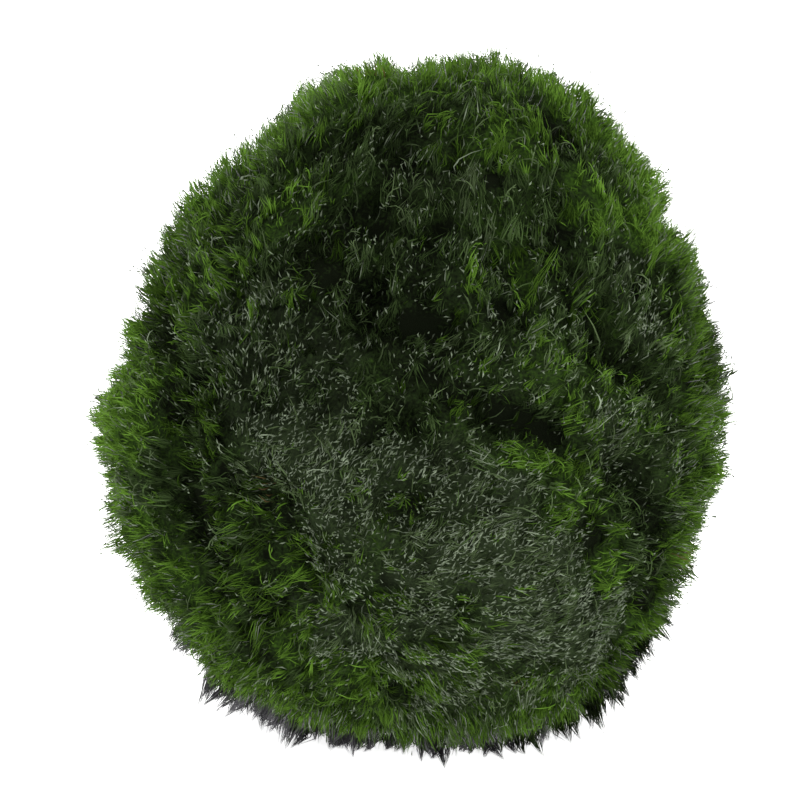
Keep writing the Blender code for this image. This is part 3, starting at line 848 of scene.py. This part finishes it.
def place_strength(directions, places, unevenness):
    """The strongest of the front's places at each direction: full inside it, fading over an uneven edge."""
    strongest = np.zeros(len(directions))
    for path, reach, strength in places:
        gap = np.min([gap_to(directions, place) for place in path_points(path)], axis=0)
        inside = PLACE_END - gap / (reach * MM) + PLACE_UNEVENNESS * unevenness
        strongest = np.maximum(strongest, strength * fade_in(inside, 0, PLACE_FADE))
    return strongest


def comb_ways(directions):
    """Unit direction along the surface in which the threads run: a bell-weighted mean of the marks."""
    total = waves(directions, COMB_WAVES, COMB_WAVE_LENGTH, size=3) * COMB_WAVE_WEIGHT
    for place, degrees in COMB_MARKS:
        weight = np.exp(-((gap_to(directions, place) / COMB_REACH) ** 2))
        angle = math.radians(degrees)
        total += weight[:, None] * (math.cos(angle) * ACROSS + math.sin(angle) * UP)
    total -= directions * (total * directions).sum(axis=1, keepdims=True)
    return unit(total)


def moss_patches(directions):
    """How matted, fresh, deep and brown the moss is at each direction, and how near the front's rim.

    The front follows its places. The back has patches made by slow waves. Near the front's rim the moss is
    made fresher as painted backlight, and deep places carry painted shade.
    """
    uneven = waves(directions, *EDGE_WAVES)[:, 0]
    slow = waves(directions, *PATCH_WAVES, size=2)
    towards = directions @ TOWARDS
    back = np.clip(0.5 - BACK_FADE * towards, 0, 1)
    aside = np.sqrt(np.clip(1 - towards**2, 0, 1))
    rim = fade_in(aside, RIM_START, 1 - RIM_START)
    matted = place_strength(directions, MATTED_PLACES, uneven)
    gain, loss, most = BACK_MATTING
    matted += (np.clip(gain * slow[:, 0] - loss, 0, most) - matted) * back
    # Near the front's rim the moss is made fresher, as painted backlight
    fresh = np.maximum(rim, place_strength(directions, FRESH_PLACES, uneven))
    plain, slow_gain, uneven_gain = BACK_FRESHNESS
    fresh += (np.clip(plain + slow_gain * slow[:, 1] + uneven_gain * uneven, 0, 1) - fresh) * back
    deep = place_strength(directions, DEEP_PLACES, uneven) * (1 - back)
    fresh *= 1 - DEEP_FRESH_LOSS * fade_in(deep, FRESH_LOSS_START, DEEP_LOSS_FADE) * (1 - rim)
    matted *= 1 - DEEP_MATTED_LOSS * fade_in(deep, MATTED_LOSS_START, DEEP_LOSS_FADE)
    fresh *= 1 - MATTED_FRESH_LOSS * matted
    brown = place_strength(directions, BROWN_PLACES, uneven) * (1 - back)
    return np.stack([matted, fresh, deep, brown, rim * (1 - back)], axis=-1)


def comb_streaks():
    """Streaks as high as 1 or so: a fine field of chance, averaged along the way in which threads run."""
    directions = grid_directions(FINE_COLUMNS, FINE_ROWS)
    specks = waves(directions.reshape(-1, 3), STREAK_WAVES, STREAK_WIDTH).reshape(FINE_ROWS, FINE_COLUMNS)
    total = specks.copy()
    for step in (STREAK_STEP, -STREAK_STEP):
        place = directions
        for _ in range(STREAK_STEPS):
            place = unit(place + read_grid(comb_grid, place) * (step / MEAN_RADIUS))
            total += read_grid(specks, place)
    return total / total.std()


patch_grid = moss_patches(grid_places).reshape(*grid_shape, -1)
comb_grid = comb_ways(grid_places).reshape(*grid_shape, 3)
streak_grid = comb_streaks()
clump_grid = limited(waves(grid_places, CLUMP_WAVES, CLUMP_WIDTH)).reshape(grid_shape)
fine_places = grid_directions(FINE_COLUMNS, FINE_ROWS).reshape(-1, 3)
gap_grid = place_strength(fine_places, GAP_PLACES, read_grid(clump_grid, fine_places))
gap_grid = gap_grid.reshape(FINE_ROWS, FINE_COLUMNS)


def greyness(directions):
    """How grey the moss is at the lower outline and just behind it, where only its shaded tufts show."""
    turn = outline_angle(directions) % 360
    start, stop = LOWER_OUTLINE
    below = fade_in(turn, start, GREY_DEGREES) * fade_in(turn, stop, -GREY_DEGREES)
    depth = directions @ TOWARDS
    return below * fade_in(depth, *GREY_FRONT) * fade_in(depth, *GREY_BACK)


class Ground:
    """What the moss is like at each of many directions."""

    def __init__(self, directions):
        self.directions = directions
        self.normals = ground_normals(directions)
        self.low = np.clip(1 - at_height(ground_grid, directions)[..., 2] / SHADED_HEIGHT, 0, 1)
        self.low = np.maximum(self.low, greyness(directions))
        outwards = directions * [1, 1, 0]
        self.ways = read_grid(comb_grid, directions) + FOOT_OUTWARDS * self.low[..., None] * outwards
        self.ways -= self.normals * (self.ways * self.normals).sum(axis=-1, keepdims=True)
        self.ways = unit(self.ways)
        self.streak = limited(read_grid(streak_grid, directions))
        self.tuft = np.clip(read_grid(tuft_grid, directions) / MM, 0, FIELD_LIMIT)
        self.clump = read_grid(clump_grid, directions)
        patches = read_grid(patch_grid, directions)
        self.matted, self.fresh, self.deep, self.brown, self.rim = np.moveaxis(patches, -1, 0)
        self.deep = np.maximum(self.deep, HOLLOW_SHADE * read_grid(hollow_grid, directions))
        self.deep = np.maximum(self.deep, GAP_SHADE * read_grid(gap_grid, directions))

    def __len__(self):
        return len(self.directions)

    def by_lay(self, shaggy, rim, matted):
        """A measure that goes from the shaggy coat's to the rim's and a matted patch's."""
        measure = shaggy + (rim - shaggy) * self.rim
        return measure + (matted - measure) * self.matted

    def coat_height(self):
        """Height of the coat over the felt."""
        height = self.by_lay(*COAT_LEAST) + COAT_SHARE * self.tuft * MM
        return height * (1 + CLUMP_SHARE * self.clump) * (1 - DEEP_HEIGHT_LOSS * self.deep)

    def turned(self, extra=0.0):
        """The way of the comb, turned aside by chance."""
        turn = np.radians(chance.normal(size=len(self)) * (self.by_lay(*TURN_SCATTERS) + extra))[:, None]
        aside = np.cross(self.normals, self.ways)
        return unit(self.ways * np.cos(turn) + aside * np.sin(turn))

    def lifted(self, extra_rise=0.0, extra_turn=0.0):
        """Direction from root to tip of a thread: along the comb and risen from the felt."""
        rise = self.by_lay(*RISES) + extra_rise + chance.normal(scale=RISE_SCATTER, size=len(self))
        rise = np.radians(rise)[:, None]
        return np.cos(rise) * self.turned(extra_turn) + np.sin(rise) * self.normals


def spread_directions(count):
    """Directions spread evenly by chance."""
    return unit(chance.normal(size=(count, 3)))


# Threads


def pressed(points):
    """Points with those near or under the floor squeezed into a thin layer on it."""
    low = points[..., 2] < PRESSED_HEIGHT
    squeezed = PRESSED_HEIGHT * np.exp((points[..., 2] - PRESSED_HEIGHT) / PRESSED_HEIGHT)
    points[..., 2] = np.where(low, squeezed, points[..., 2])
    return points


def bowed_paths(roots, middles, tips, bends):
    """Points along curves from root to tip that bow towards a middle point: quadratic curves."""
    way = np.linspace(0, 1, bends + 2)[:, None]
    bow = 2 * way * (1 - way)
    return roots[:, None] * (1 - way) ** 2 + middles[:, None] * bow + tips[:, None] * way**2


def thread_pattern(bends):
    """Triangles of one three-sided thread, and the place of each of their corners on the map.

    The root is corner 0, the ring at bend k has corners 3k + 1 to 3k + 3, and the tip comes last.
    """
    tip = 3 * bends + 1
    triangles, places = [], []
    for side in range(3):
        here, there = side + 1, (side + 1) % 3 + 1
        first, last = 1 / (bends + 1), bends / (bends + 1)
        triangles += [(0, there, here), (tip - 4 + here, tip - 4 + there, tip)]
        places += [((side + 0.5, 0), (side + 1, first), (side, first))]
        places += [((side, last), (side + 1, last), (side + 0.5, 1))]
        for bend in range(bends - 1):
            low, high = (bend + 1) / (bends + 1), (bend + 2) / (bends + 1)
            a, b = 3 * bend + here, 3 * bend + there
            triangles += [(a, b, b + 3), (a, b + 3, a + 3)]
            places += [((side, low), (side + 1, low), (side + 1, high))]
            places += [((side, low), (side + 1, high), (side, high))]
    return np.array(triangles), np.array(places, dtype=float)


def clear_of_gaps(paths):
    """Whether each thread keeps clear of the gaps, with its root and its tip."""
    return (read_grid(gap_grid, unit(paths[:, [0, -1]] - BALL_CENTRE)) < BARE_LIMIT).all(axis=1)


def thread_shapes(paths, turns, half_widths, kinds, brightness):
    """Corners, triangles and map places of three-sided threads along paths, pointed at both ends."""
    count, stations = paths.shape[:2]
    bends = stations - 2
    forward = unit(np.gradient(paths, axis=1))[:, 1:-1]
    first = unit(np.cross(forward, turns))
    second = np.cross(forward, first)
    taper = 1 - TAPER * (np.arange(bends) / bends) ** 2
    width = (half_widths[:, None] * taper)[..., None]
    rings = []
    for side in range(3):
        angle = 2 * math.pi * side / 3
        rings.append(paths[:, 1:-1] + width * (math.cos(angle) * first + math.sin(angle) * second))
    rings = np.stack(rings, axis=2).reshape(count, 3 * bends, 3)
    corners = np.concatenate([paths[:, :1], rings, paths[:, -1:]], axis=1)
    pattern, places = thread_pattern(bends)
    triangles = pattern + np.arange(count)[:, None, None] * corners.shape[1]
    across = MAP_START + MAP_WIDTH * np.clip(brightness, 0, 1)[:, None, None] + places[..., 0] * MAP_STEP
    along = (kinds[:, None, None] + MAP_EDGE + (1 - 2 * MAP_EDGE) * places[..., 1]) / KINDS
    return pressed(corners), triangles, np.stack([across, along], axis=-1)


def make_piece(name, corners, triangles, map_places, finish, normals=None):
    """A mesh object of triangles with its own map, riding with the ball."""
    mesh = bpy.data.meshes.new(name)
    mesh.vertices.add(corners.size // 3)
    mesh.vertices.foreach_set("co", corners.ravel())
    mesh.loops.add(triangles.size)
    mesh.loops.foreach_set("vertex_index", triangles.ravel())
    mesh.polygons.add(triangles.size // 3)
    mesh.polygons.foreach_set("loop_start", np.arange(0, triangles.size, 3))
    mesh.uv_layers.new(name=BAKE_MAP).data.foreach_set("uv", map_places.ravel())
    mesh.materials.append(finish)
    mesh.shade_smooth()
    mesh.update(calc_edges=True)
    if normals is not None:
        mesh.normals_split_custom_set_from_vertices(normals.tolist())
    piece = bpy.data.objects.new(name, mesh)
    bpy.context.scene.collection.objects.link(piece)
    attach(piece, "root")
    return piece


def soft_normals(corners, half_widths):
    """Shading directions of the threads' corners: away from the ball, and a share of the thread's own."""
    middles = corners.mean(axis=1, keepdims=True)
    away = unit(middles - BALL_CENTRE)
    own = corners - middles
    along = unit(corners[:, -1:] - corners[:, :1])
    own -= along * (own * along).sum(axis=-1, keepdims=True)
    own /= half_widths[:, None, None]
    return unit(away * (1 - ROUNDNESS) + own * ROUNDNESS).reshape(-1, 3)


def make_threads(name, paths, half_widths, kinds, brightness, finish):
    """A piece of many threads, without those that would cover a gap."""
    turns = unit(chance.normal(size=(len(paths), 1, 3)))
    kept = clear_of_gaps(paths)
    paths, turns, half_widths, kinds, brightness = (
        values[kept] for values in (paths, turns, half_widths, kinds, brightness)
    )
    corners, triangles, places = thread_shapes(paths, turns, half_widths, kinds, brightness)
    return make_piece(name, corners, triangles, places, finish, soft_normals(corners, half_widths))


def thread_looks(ground, threads=1):
    """Kind and brightness of threads at each place, several much alike in a lock or fan.

    They are fresh or matted where the moss is, now and then damp with a painted glint, and darker in deep
    places as painted shade. The brightness is a sum: each measure of the place times its gain, and chance.
    Of these gains, the rim, the height, the tuft and the clumps add painted light, and matting adds a
    painted sheen.
    """
    count = len(ground)
    drawn = chance.random(count)
    anywhere, added = FRESH_CHANCES
    kinds = np.where(drawn < anywhere + added * ground.fresh, FRESH, DEEP)
    kinds = np.where(drawn > 1 - MATTED_CHANCE * ground.matted, MATTED, kinds)
    # Painted light and shade: the rim, height, tuft and clump gains brighten a thread, the matted gain adds
    # a painted sheen, and deep places darken it
    brightness = PLAIN + FRESH_GAIN * ground.fresh + MATTED_SHEEN_GAIN * ground.matted - DEEP_SHADE_LOSS * ground.deep
    tuft_gain = TUFT_LIGHT_GAIN * (ground.tuft - MEAN_TUFT)
    brightness += STREAK_GAIN * ground.streak + tuft_gain + CLUMP_LIGHT_GAIN * ground.clump
    brightness += RIM_LIGHT_GAIN * ground.rim + TOP_LIGHT_GAIN * ground.directions[:, 2]
    brightness += FAN_SCATTER * (chance.exponential(size=count) - 1)
    measures = (kinds, brightness, ground.matted, ground.brown, ground.low)
    kinds, brightness, matted, brown, low = (np.repeat(measure, threads) for measure in measures)
    brightness += chance.normal(scale=THREAD_SCATTER, size=len(kinds))
    chances = chance.random((4, len(kinds)))
    swapped = chances[0] < SWAP_CHANCE
    kinds[swapped] = chance.permutation(kinds)[swapped]
    anywhere, added = DAMP_GLINT_CHANCES
    kinds[chances[1] < anywhere + added * matted] = DAMP_GLINT
    brightness -= STRAY_FRESH_LOSS * (kinds == FRESH) * matted
    kinds[chances[2] < BROWN_CHANCE * brown] = BROWN
    kinds[chances[3] < SHADED_CHANCE * low] = SHADED
    return kinds, brightness - SHADED_LOSS * low


def tuft_tips():
    """Corners of the solid that stand highest over the felt around them: the tips of its tufts."""
    rise = corner_radii - read_grid(ground_grid, corner_directions)
    least = math.cos(TIP_SPACING / MEAN_RADIUS)
    highest = np.empty(len(rise))
    for rows in np.array_split(np.arange(len(rise)), 12):
        near = corner_directions[rows] @ corner_directions.T > least
        highest[rows] = np.where(near, rise, -1).max(axis=1)
    return np.nonzero((rise >= highest) & (rise > TIP_RISE))[0]


def scatter_along(normals, spread, threads):
    """Places by chance around each of many points, along the surface: one row of threads for each."""
    offsets = chance.normal(scale=spread, size=(len(normals), threads, 3))
    return offsets - normals[:, None] * (offsets * normals[:, None]).sum(axis=2, keepdims=True)


def across_the_ball(directions, offsets):
    """Directions moved along the ball by offsets."""
    return unit(directions + offsets / MEAN_RADIUS)


def roots_around(directions, offsets, height=-ROOT_DEPTH):
    """Roots, or tips, of a row of threads around each of many directions, at a height over the felt."""
    return at_height(felt_grid, across_the_ball(directions[:, None], offsets), height)


def bowed(ground, roots, tips):
    """Paths with one bend, bowed up from the felt and aside, all threads of a fan together.

    The bend lies between root and tip, plus a share of the thread's length up and aside, and chance.
    """
    lengths = np.linalg.norm(tips - roots, axis=-1, keepdims=True)
    sideways = chance.normal(size=len(ground)) * ground.by_lay(*BOWS_ASIDE)
    aside = np.cross(ground.normals, ground.ways) * sideways[:, None]
    bow = ground.normals * ground.by_lay(*BOW_UP)[:, None] + aside
    root_share, tip_share = BEND_SHARES
    bends = roots * root_share + tips * tip_share + bow[:, None] * lengths
    bends += chance.normal(scale=BEND_SCATTER, size=bends.shape) * lengths
    return np.stack([roots, bends, tips], axis=2).reshape(-1, 3, 3)


def make_halves(name, paths, widths, looks, finish):
    """Threads all over the ball, in one piece for the front half and one for the back half."""
    front = paths[:, 0, 1] < BALL_CENTRE[1]
    for half, chosen in (("front", front), ("back", ~front)):
        make_threads(f"{name}_{half}", *(values[chosen] for values in (paths, widths, *looks)), finish)


def make_locks(finish):
    """Locks of threads that stand around a root and gather towards the tips of the solid's tufts.

    Each thread's root lies by chance around the middle, and its tip keeps a share of that offset.
    Outer threads are shorter.
    """
    tips = tuft_tips()
    ground = Ground(corner_directions[tips])
    tip_radii = corner_radii[tips] + notches(ground.directions)
    tip_points = BALL_CENTRE + ground.directions * tip_radii[:, None]
    behind = across_the_ball(ground.directions, -ground.ways * ground.by_lay(*BACKSTEPS)[:, None])
    shafts = (tip_points - at_height(felt_grid, behind, -ROOT_DEPTH))[:, None]
    offsets = scatter_along(ground.normals, LOCK_SPREAD, LOCK_THREADS)
    roots = roots_around(behind, offsets)
    outer = np.linalg.norm(offsets, axis=2, keepdims=True) / LOCK_SPREAD
    plain, scatter, outer_loss, rim_gain = LOCK_REACH
    reach = plain + scatter * chance.normal(size=outer.shape) - outer_loss * outer
    reach += rim_gain * ground.rim[:, None, None]
    ends = roots + shafts * reach - offsets * GATHERING
    scatters = chance.normal(scale=LOCK_END_SCATTER, size=ends.shape)
    ends += scatters * np.linalg.norm(shafts, axis=2, keepdims=True)
    paths = bowed(ground, roots, ends)
    widths = chance.uniform(*LOCK_HALF_WIDTHS, len(paths))
    make_halves("locks", paths, widths, thread_looks(ground, LOCK_THREADS), finish)


def make_fans(finish):
    """Little fans of threads that fill the coat.

    A fan's threads leave one root, which lies behind its tips against the comb. Each tip ends at a share
    of the coat's height over the felt, and the deeper it ends, the darker the thread is painted, as shade.
    That depth is a share times chance squared, so most tips end near the top.
    """
    ground = Ground(spread_directions(FANS))
    low, high = (scatter_along(ground.normals, spread, FAN_THREADS) for spread in FAN_SPREADS)
    backsteps = ground.by_lay(*BACKSTEPS) * chance.uniform(*BACKSTEP_SCATTER, len(ground))
    behind = across_the_ball(ground.directions, -ground.turned() * backsteps[:, None])
    depths = ground.by_lay(*DEEPEST)[:, None] * chance.random((len(ground), FAN_THREADS)) ** 2
    tips = roots_around(ground.directions, high, ground.coat_height()[:, None] * (1 - depths))
    paths = bowed(ground, roots_around(behind, low), tips)
    thinning = 1 - RIM_THINNING * ground.rim
    widths = chance.uniform(*FAN_HALF_WIDTHS, len(paths)) * np.repeat(thinning, FAN_THREADS)
    kinds, brightness = thread_looks(ground, FAN_THREADS)
    make_halves("fans", paths, widths, (kinds, brightness - DEPTH_SHADE_LOSS * depths.ravel()), finish)


def make_short_threads(finish):
    """Short threads everywhere, which make the coat dense and hide the felt."""
    ground = Ground(spread_directions(SHORT_THREADS))
    roots = at_height(felt_grid, ground.directions, -ROOT_DEPTH)[:, None]
    lengths = chance.uniform(*SHORT_LENGTHS, (len(ground), 1, 1))
    paths = bowed(ground, roots, roots + ground.lifted(SHORT_EXTRA_RISE)[:, None] * lengths)
    kinds, brightness = thread_looks(ground)
    widths = chance.uniform(*FAN_HALF_WIDTHS, len(ground))
    make_halves("short_threads", paths, widths, (kinds, brightness - SHORT_LOSS), finish)


def make_damp_glint_threads(finish):
    """Short damp threads that lie along the comb, most of them on the matted patches, with painted glints at
    their middles.
    """
    ground = Ground(spread_directions(DAMP_THREADS * DAMP_TRIES))
    plain, clump_gain, streak_gain = DAMP_DENSITY
    clumps = np.clip(plain + clump_gain * ground.clump + streak_gain * ground.streak, *DAMP_DENSITY_LIMITS)
    kept = chance.random(len(ground)) < (DAMP_STRAY + (1 - DAMP_STRAY) * ground.matted) * clumps
    ground = Ground(ground.directions[kept][:DAMP_THREADS])
    count = len(ground)
    lengths = chance.uniform(*DAMP_LENGTHS, (count, 1, 1))
    heights = ground.coat_height() * chance.uniform(*DAMP_HEIGHTS, count)
    roots = at_height(felt_grid, ground.directions, heights)[:, None]
    paths = bowed(ground, roots, roots + ground.lifted(extra_turn=DAMP_TURN)[:, None] * lengths)
    # Brightness of each thread's painted glint
    least, spread, matted_loss, power = DAMP_GLINT_BRIGHTNESS
    brightness = least + (spread - matted_loss * ground.matted) * chance.random(count) ** power
    streak_gain, clump_gain, deep_loss = DAMP_GLINT_GAINS
    brightness += streak_gain * ground.streak + clump_gain * ground.clump - deep_loss * ground.deep
    widths = chance.uniform(*DAMP_HALF_WIDTHS, count)
    make_threads("damp_glint_threads", paths, widths, np.full(count, DAMP_GLINT), brightness, finish)


def make_fringe(finish):
    """Fine straight hairs in small combs that stand out of the coat.

    The hairs of a comb are rooted around one place and lean alike: along the outward normal, plus a lean of
    the whole comb, plus a small lean of the hair's own.
    """
    ground = Ground(spread_directions(COMBS * COMB_TRIES))
    back = np.clip(-BACK_FADE * ground.directions @ TOWARDS, 0, BACK_COMBS)
    share = np.clip(np.maximum(RIM_COMBS * ground.rim, back), FRONT_COMBS, 1) * (1 - ground.matted)
    ground = Ground(ground.directions[chance.random(len(ground)) < share][:COMBS])
    offsets = scatter_along(ground.normals, HAIR_SPREAD, COMB_HAIRS)
    roots = roots_around(ground.directions, offsets, HAIR_ROOT_HEIGHT)
    leans = ground.ways * COMB_FORWARD_LEAN + chance.normal(scale=COMB_LEAN, size=(len(ground), 3))
    ways = ground.normals[:, None] + leans[:, None] + chance.normal(scale=HAIR_LEAN, size=roots.shape)
    lengths = chance.uniform(*HAIR_LENGTHS, (len(ground), 1, 1))
    lengths = lengths * chance.uniform(*HAIR_SHORTENING, (len(ground), COMB_HAIRS, 1))
    paths = bowed(ground, roots, roots + unit(ways) * lengths)
    kinds, brightness = thread_looks(ground, COMB_HAIRS)
    kinds[chance.random(len(kinds)) < GREY_HAIRS * np.repeat(ground.rim, COMB_HAIRS)] = SHADED
    widths = chance.uniform(*HAIR_HALF_WIDTHS, len(paths))
    make_threads("fringe", paths, widths, kinds, brightness, finish)


def foot_directions():
    """Directions of the places around the foot, at even heights, and along the lower outline."""
    turn = chance.uniform(0, 2 * math.pi, FOOT_TUFTS)
    heights = chance.uniform(*FOOT_HEIGHTS, FOOT_TUFTS)
    rise = np.arcsin((heights - BALL_CENTRE[2]) / FOOT_RADIUS)
    foot = np.stack([np.cos(rise) * np.cos(turn), np.cos(rise) * np.sin(turn), np.sin(rise)], axis=-1)
    angle = np.radians(chance.uniform(*LOWER_OUTLINE, (OUTLINE_TUFTS, 1)))
    depth = chance.uniform(*LOWER_DEPTHS, (OUTLINE_TUFTS, 1))
    return np.concatenate([foot, unit(np.cos(angle) * ACROSS + np.sin(angle) * UP + depth * TOWARDS)])


def make_foot_tufts(finish):
    """Dark tufts that hang around the foot and along the lower outline, each like a flame; their darkness is
    painted shade under the ball.

    The threads of a tuft leave the felt around one place and run outwards and down. They draw together on
    the way, because a tip keeps only a small share of its root's offset.
    """
    ground = Ground(foot_directions())
    lean = chance.normal(scale=TUFT_LEAN_SCATTER, size=(len(ground), 3)) + TUFT_LEAN
    ways = unit(ground.directions + lean)[:, None]
    offsets = scatter_along(ground.normals, TUFT_SPREAD, TUFT_THREADS)
    roots = roots_around(ground.directions, offsets)
    lengths = chance.uniform(*TUFT_LENGTHS, (len(ground), 1, 1))
    lengths = lengths * chance.uniform(*TUFT_SHORTENING, (len(ground), TUFT_THREADS, 1))
    paths = bowed(ground, roots, roots + ways * lengths - offsets * TUFT_GATHERING)
    widths = chance.uniform(*LOCK_HALF_WIDTHS, len(paths))
    # Tufts to the right are darker, as painted shade
    rightness = np.clip(ground.directions @ ACROSS, 0, 1)
    brightness = chance.uniform(*TUFT_BRIGHTNESS, len(ground)) - TUFT_RIGHT_SHADE * rightness
    brightness = np.repeat(brightness, TUFT_THREADS)
    brightness += chance.normal(scale=TUFT_THREAD_SCATTER, size=len(paths))
    green = chance.random(len(ground)) < GREEN_TUFTS * np.clip(GREEN_TUFTS_RISE * rightness, 0, 1)
    kinds = np.repeat(np.where(green, DEEP, SHADED), TUFT_THREADS)
    make_threads("foot_tufts", paths, widths, kinds, brightness, finish)


def spurs(paths, lengths):
    """Short threads that branch off others: each starts on its path and leaves it at an angle."""
    count, stations = paths.shape[:2]
    owner = np.repeat(np.arange(count), SPURS)
    station = chance.integers(1, stations - 1, len(owner))
    share = chance.random((len(owner), 1))
    low, high = paths[owner, station], paths[owner, station + 1]
    along = unit(high - low)
    aside = unit(np.cross(along, chance.normal(size=along.shape)))
    roots = low + (high - low) * share
    before, beyond = (unit(along + lean * aside) * lengths * 0.5 for lean in SPUR_LEANS)
    bends = roots + before
    return owner, np.stack([roots, bends, bends + beyond], axis=1)


def make_long_threads(finish):
    """Long pale threads that lie over the coat along the comb and curl aside, with short spurs."""
    ground = Ground(spread_directions(LONG_THREADS * LONG_TRIES))
    ground = Ground(ground.directions[(ground.low == 0) & (ground.rim < LONG_RIM_LIMIT)][:LONG_THREADS])
    count = len(ground)
    lengths = chance.uniform(*LONG_LENGTHS, (count, 1))
    ways = ground.turned()
    curl = np.cross(ground.normals, ways) * chance.normal(scale=LONG_CURL, size=(count, 1))
    ahead = across_the_ball(ground.directions, (ways + curl) * lengths)
    bent = across_the_ball(ground.directions, (ways - curl) * lengths * LONG_BOW_PLACE)
    height = ground.coat_height()
    roots = at_height(felt_grid, ground.directions, height * LONG_ROOT_HEIGHT)
    tips = at_height(felt_grid, ahead, height * chance.uniform(*LONG_TIP_HEIGHTS, count))
    bows = at_height(felt_grid, bent, height * LONG_BOW_HEIGHT)
    paths = bowed_paths(roots, bows, tips, bends=3)
    kinds, brightness = thread_looks(ground)
    brightness += LONG_GAIN
    kinds[chance.random(count) < PALE_SHARE] = MATTED
    widths = chance.uniform(*LONG_HALF_WIDTHS, count)
    make_threads("long_threads", paths, widths, kinds, brightness, finish)
    owner, spur_paths = spurs(paths, chance.uniform(*SPUR_LENGTHS, (count * SPURS, 1)))
    kept = clear_of_gaps(paths)[owner]
    owner, spur_paths = owner[kept], spur_paths[kept]
    make_threads("spurs", spur_paths, widths[owner], kinds[owner], brightness[owner], finish)


def make_felt(finish):
    """The dark felt under the threads: a radius over a grid of longitudes and latitudes.

    The radius is that of the ground and part of the tuft cores, with fine crumbs made of crossing waves.
    Each pole is one corner, so the felt is closed.
    """
    directions = grid_directions(FELT_COLUMNS, FELT_ROWS)
    crumbs = waves(directions.reshape(-1, 3), CRUMB_WAVES, CRUMB_LENGTH).reshape(FELT_ROWS, FELT_COLUMNS)
    points = pressed(at_height(felt_grid, directions, crumbs * CRUMB_HEIGHT))
    points[0], points[-1] = points[0, 0], points[-1, 0]
    ground = Ground(directions.reshape(-1, 3))
    # Depth darkens the felt as painted shade, tuft cores lighten it as painted light, and the rim's
    # freshness is painted backlight
    fresh_gain, deep_gain, tuft_gain = FELT_GAINS
    green = FELT_GREEN + fresh_gain * ground.fresh + deep_gain * ground.deep + tuft_gain * ground.tuft
    number = np.arange(FELT_ROWS * FELT_COLUMNS).reshape(FELT_ROWS, FELT_COLUMNS)
    number[0], number[-1] = number[0, 0], number[-1, 0]
    row, column = np.mgrid[0 : FELT_ROWS - 1, 0:FELT_COLUMNS]
    quads, places = [], []
    for right, up in ((0, 0), (1, 0), (1, 1), (0, 1)):
        quads.append(number[row + up, (column + right) % FELT_COLUMNS])
        places.append(np.stack([(column + right) / FELT_COLUMNS, (row + up) / (FELT_ROWS - 1)], axis=-1))
    quads, places = np.stack(quads, axis=-1), np.stack(places, axis=2)
    triangles = np.concatenate([quads[1:, :, [0, 1, 2]], quads[:-1, :, [0, 2, 3]]])
    map_places = np.concatenate([places[1:, :, [0, 1, 2]], places[:-1, :, [0, 2, 3]]])
    felt = make_piece("felt", points.reshape(-1, 3), triangles, map_places, finish)
    felt.data.attributes.new(GREEN_LAYER, "FLOAT", "POINT").data.foreach_set("value", green)
    felt.data.attributes.new(MATTED_LAYER, "FLOAT", "POINT").data.foreach_set("value", ground.matted)
    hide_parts(BALL)


# Studio


def pose_matrix(*columns):
    """The matrix of an object from its three axes and its place."""
    return Matrix(np.column_stack(columns).tolist() + [[0, 0, 0, 1]])


def add_camera():
    """The photograph's camera: a long lens that looks down a little on the ball."""
    aim = BALL_CENTRE + AIM_ACROSS * ACROSS + AIM_UP * UP
    place = aim + CAMERA_DISTANCE * TOWARDS
    camera = bpy.data.objects.new("camera", bpy.data.cameras.new("camera"))
    camera.data.lens = LENS
    camera.data.clip_start = 10 * MM
    camera.matrix_world = pose_matrix(ACROSS, UP, TOWARDS, place)
    bpy.context.scene.collection.objects.link(camera)
    bpy.context.scene.camera = camera


def add_panel(name, turn, rise, distance, size, power):
    """A soft square light that faces the ball from a turn about it and a rise over the horizon."""
    turn, rise = math.radians(turn), math.radians(rise)
    back = np.array([math.cos(rise) * math.sin(turn), -math.cos(rise) * math.cos(turn), math.sin(rise)])
    side = unit(np.cross([0.0, 0.0, 1.0], back))
    panel = bpy.data.objects.new(name, bpy.data.lights.new(name, "AREA"))
    panel.data.size = size
    panel.data.energy = power
    panel.matrix_world = pose_matrix(side, np.cross(back, side), back, BALL_CENTRE + back * distance)
    bpy.context.scene.collection.objects.link(panel)


def add_studio():
    """A pale round floor, pale surroundings and soft panels, mostly from behind and the sides."""
    bpy.ops.mesh.primitive_circle_add(vertices=96, radius=FLOOR_RADIUS, fill_type="TRIFAN")
    floor = bpy.context.object
    floor.name = "floor"
    floor.data.materials.append(floor_finish())
    world = bpy.data.worlds.new("studio")
    world.use_nodes = True
    background = world.node_tree.nodes["Background"]
    background.inputs["Color"].default_value = (1.0, 1.0, 1.0, 1.0)
    background.inputs["Strength"].default_value = WORLD_STRENGTH
    bpy.context.scene.world = world
    for panel in PANELS:
        add_panel(*panel)
    bpy.context.scene.view_settings.view_transform = "Standard"


def main():
    """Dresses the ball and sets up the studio."""
    threads = threads_finish()
    make_felt(felt_finish())
    for make in (
        make_locks, make_fans, make_short_threads, make_damp_glint_threads, make_fringe, make_foot_tufts,
        make_long_threads,
    ):
        make(threads)
    add_camera()
    add_studio()


main()
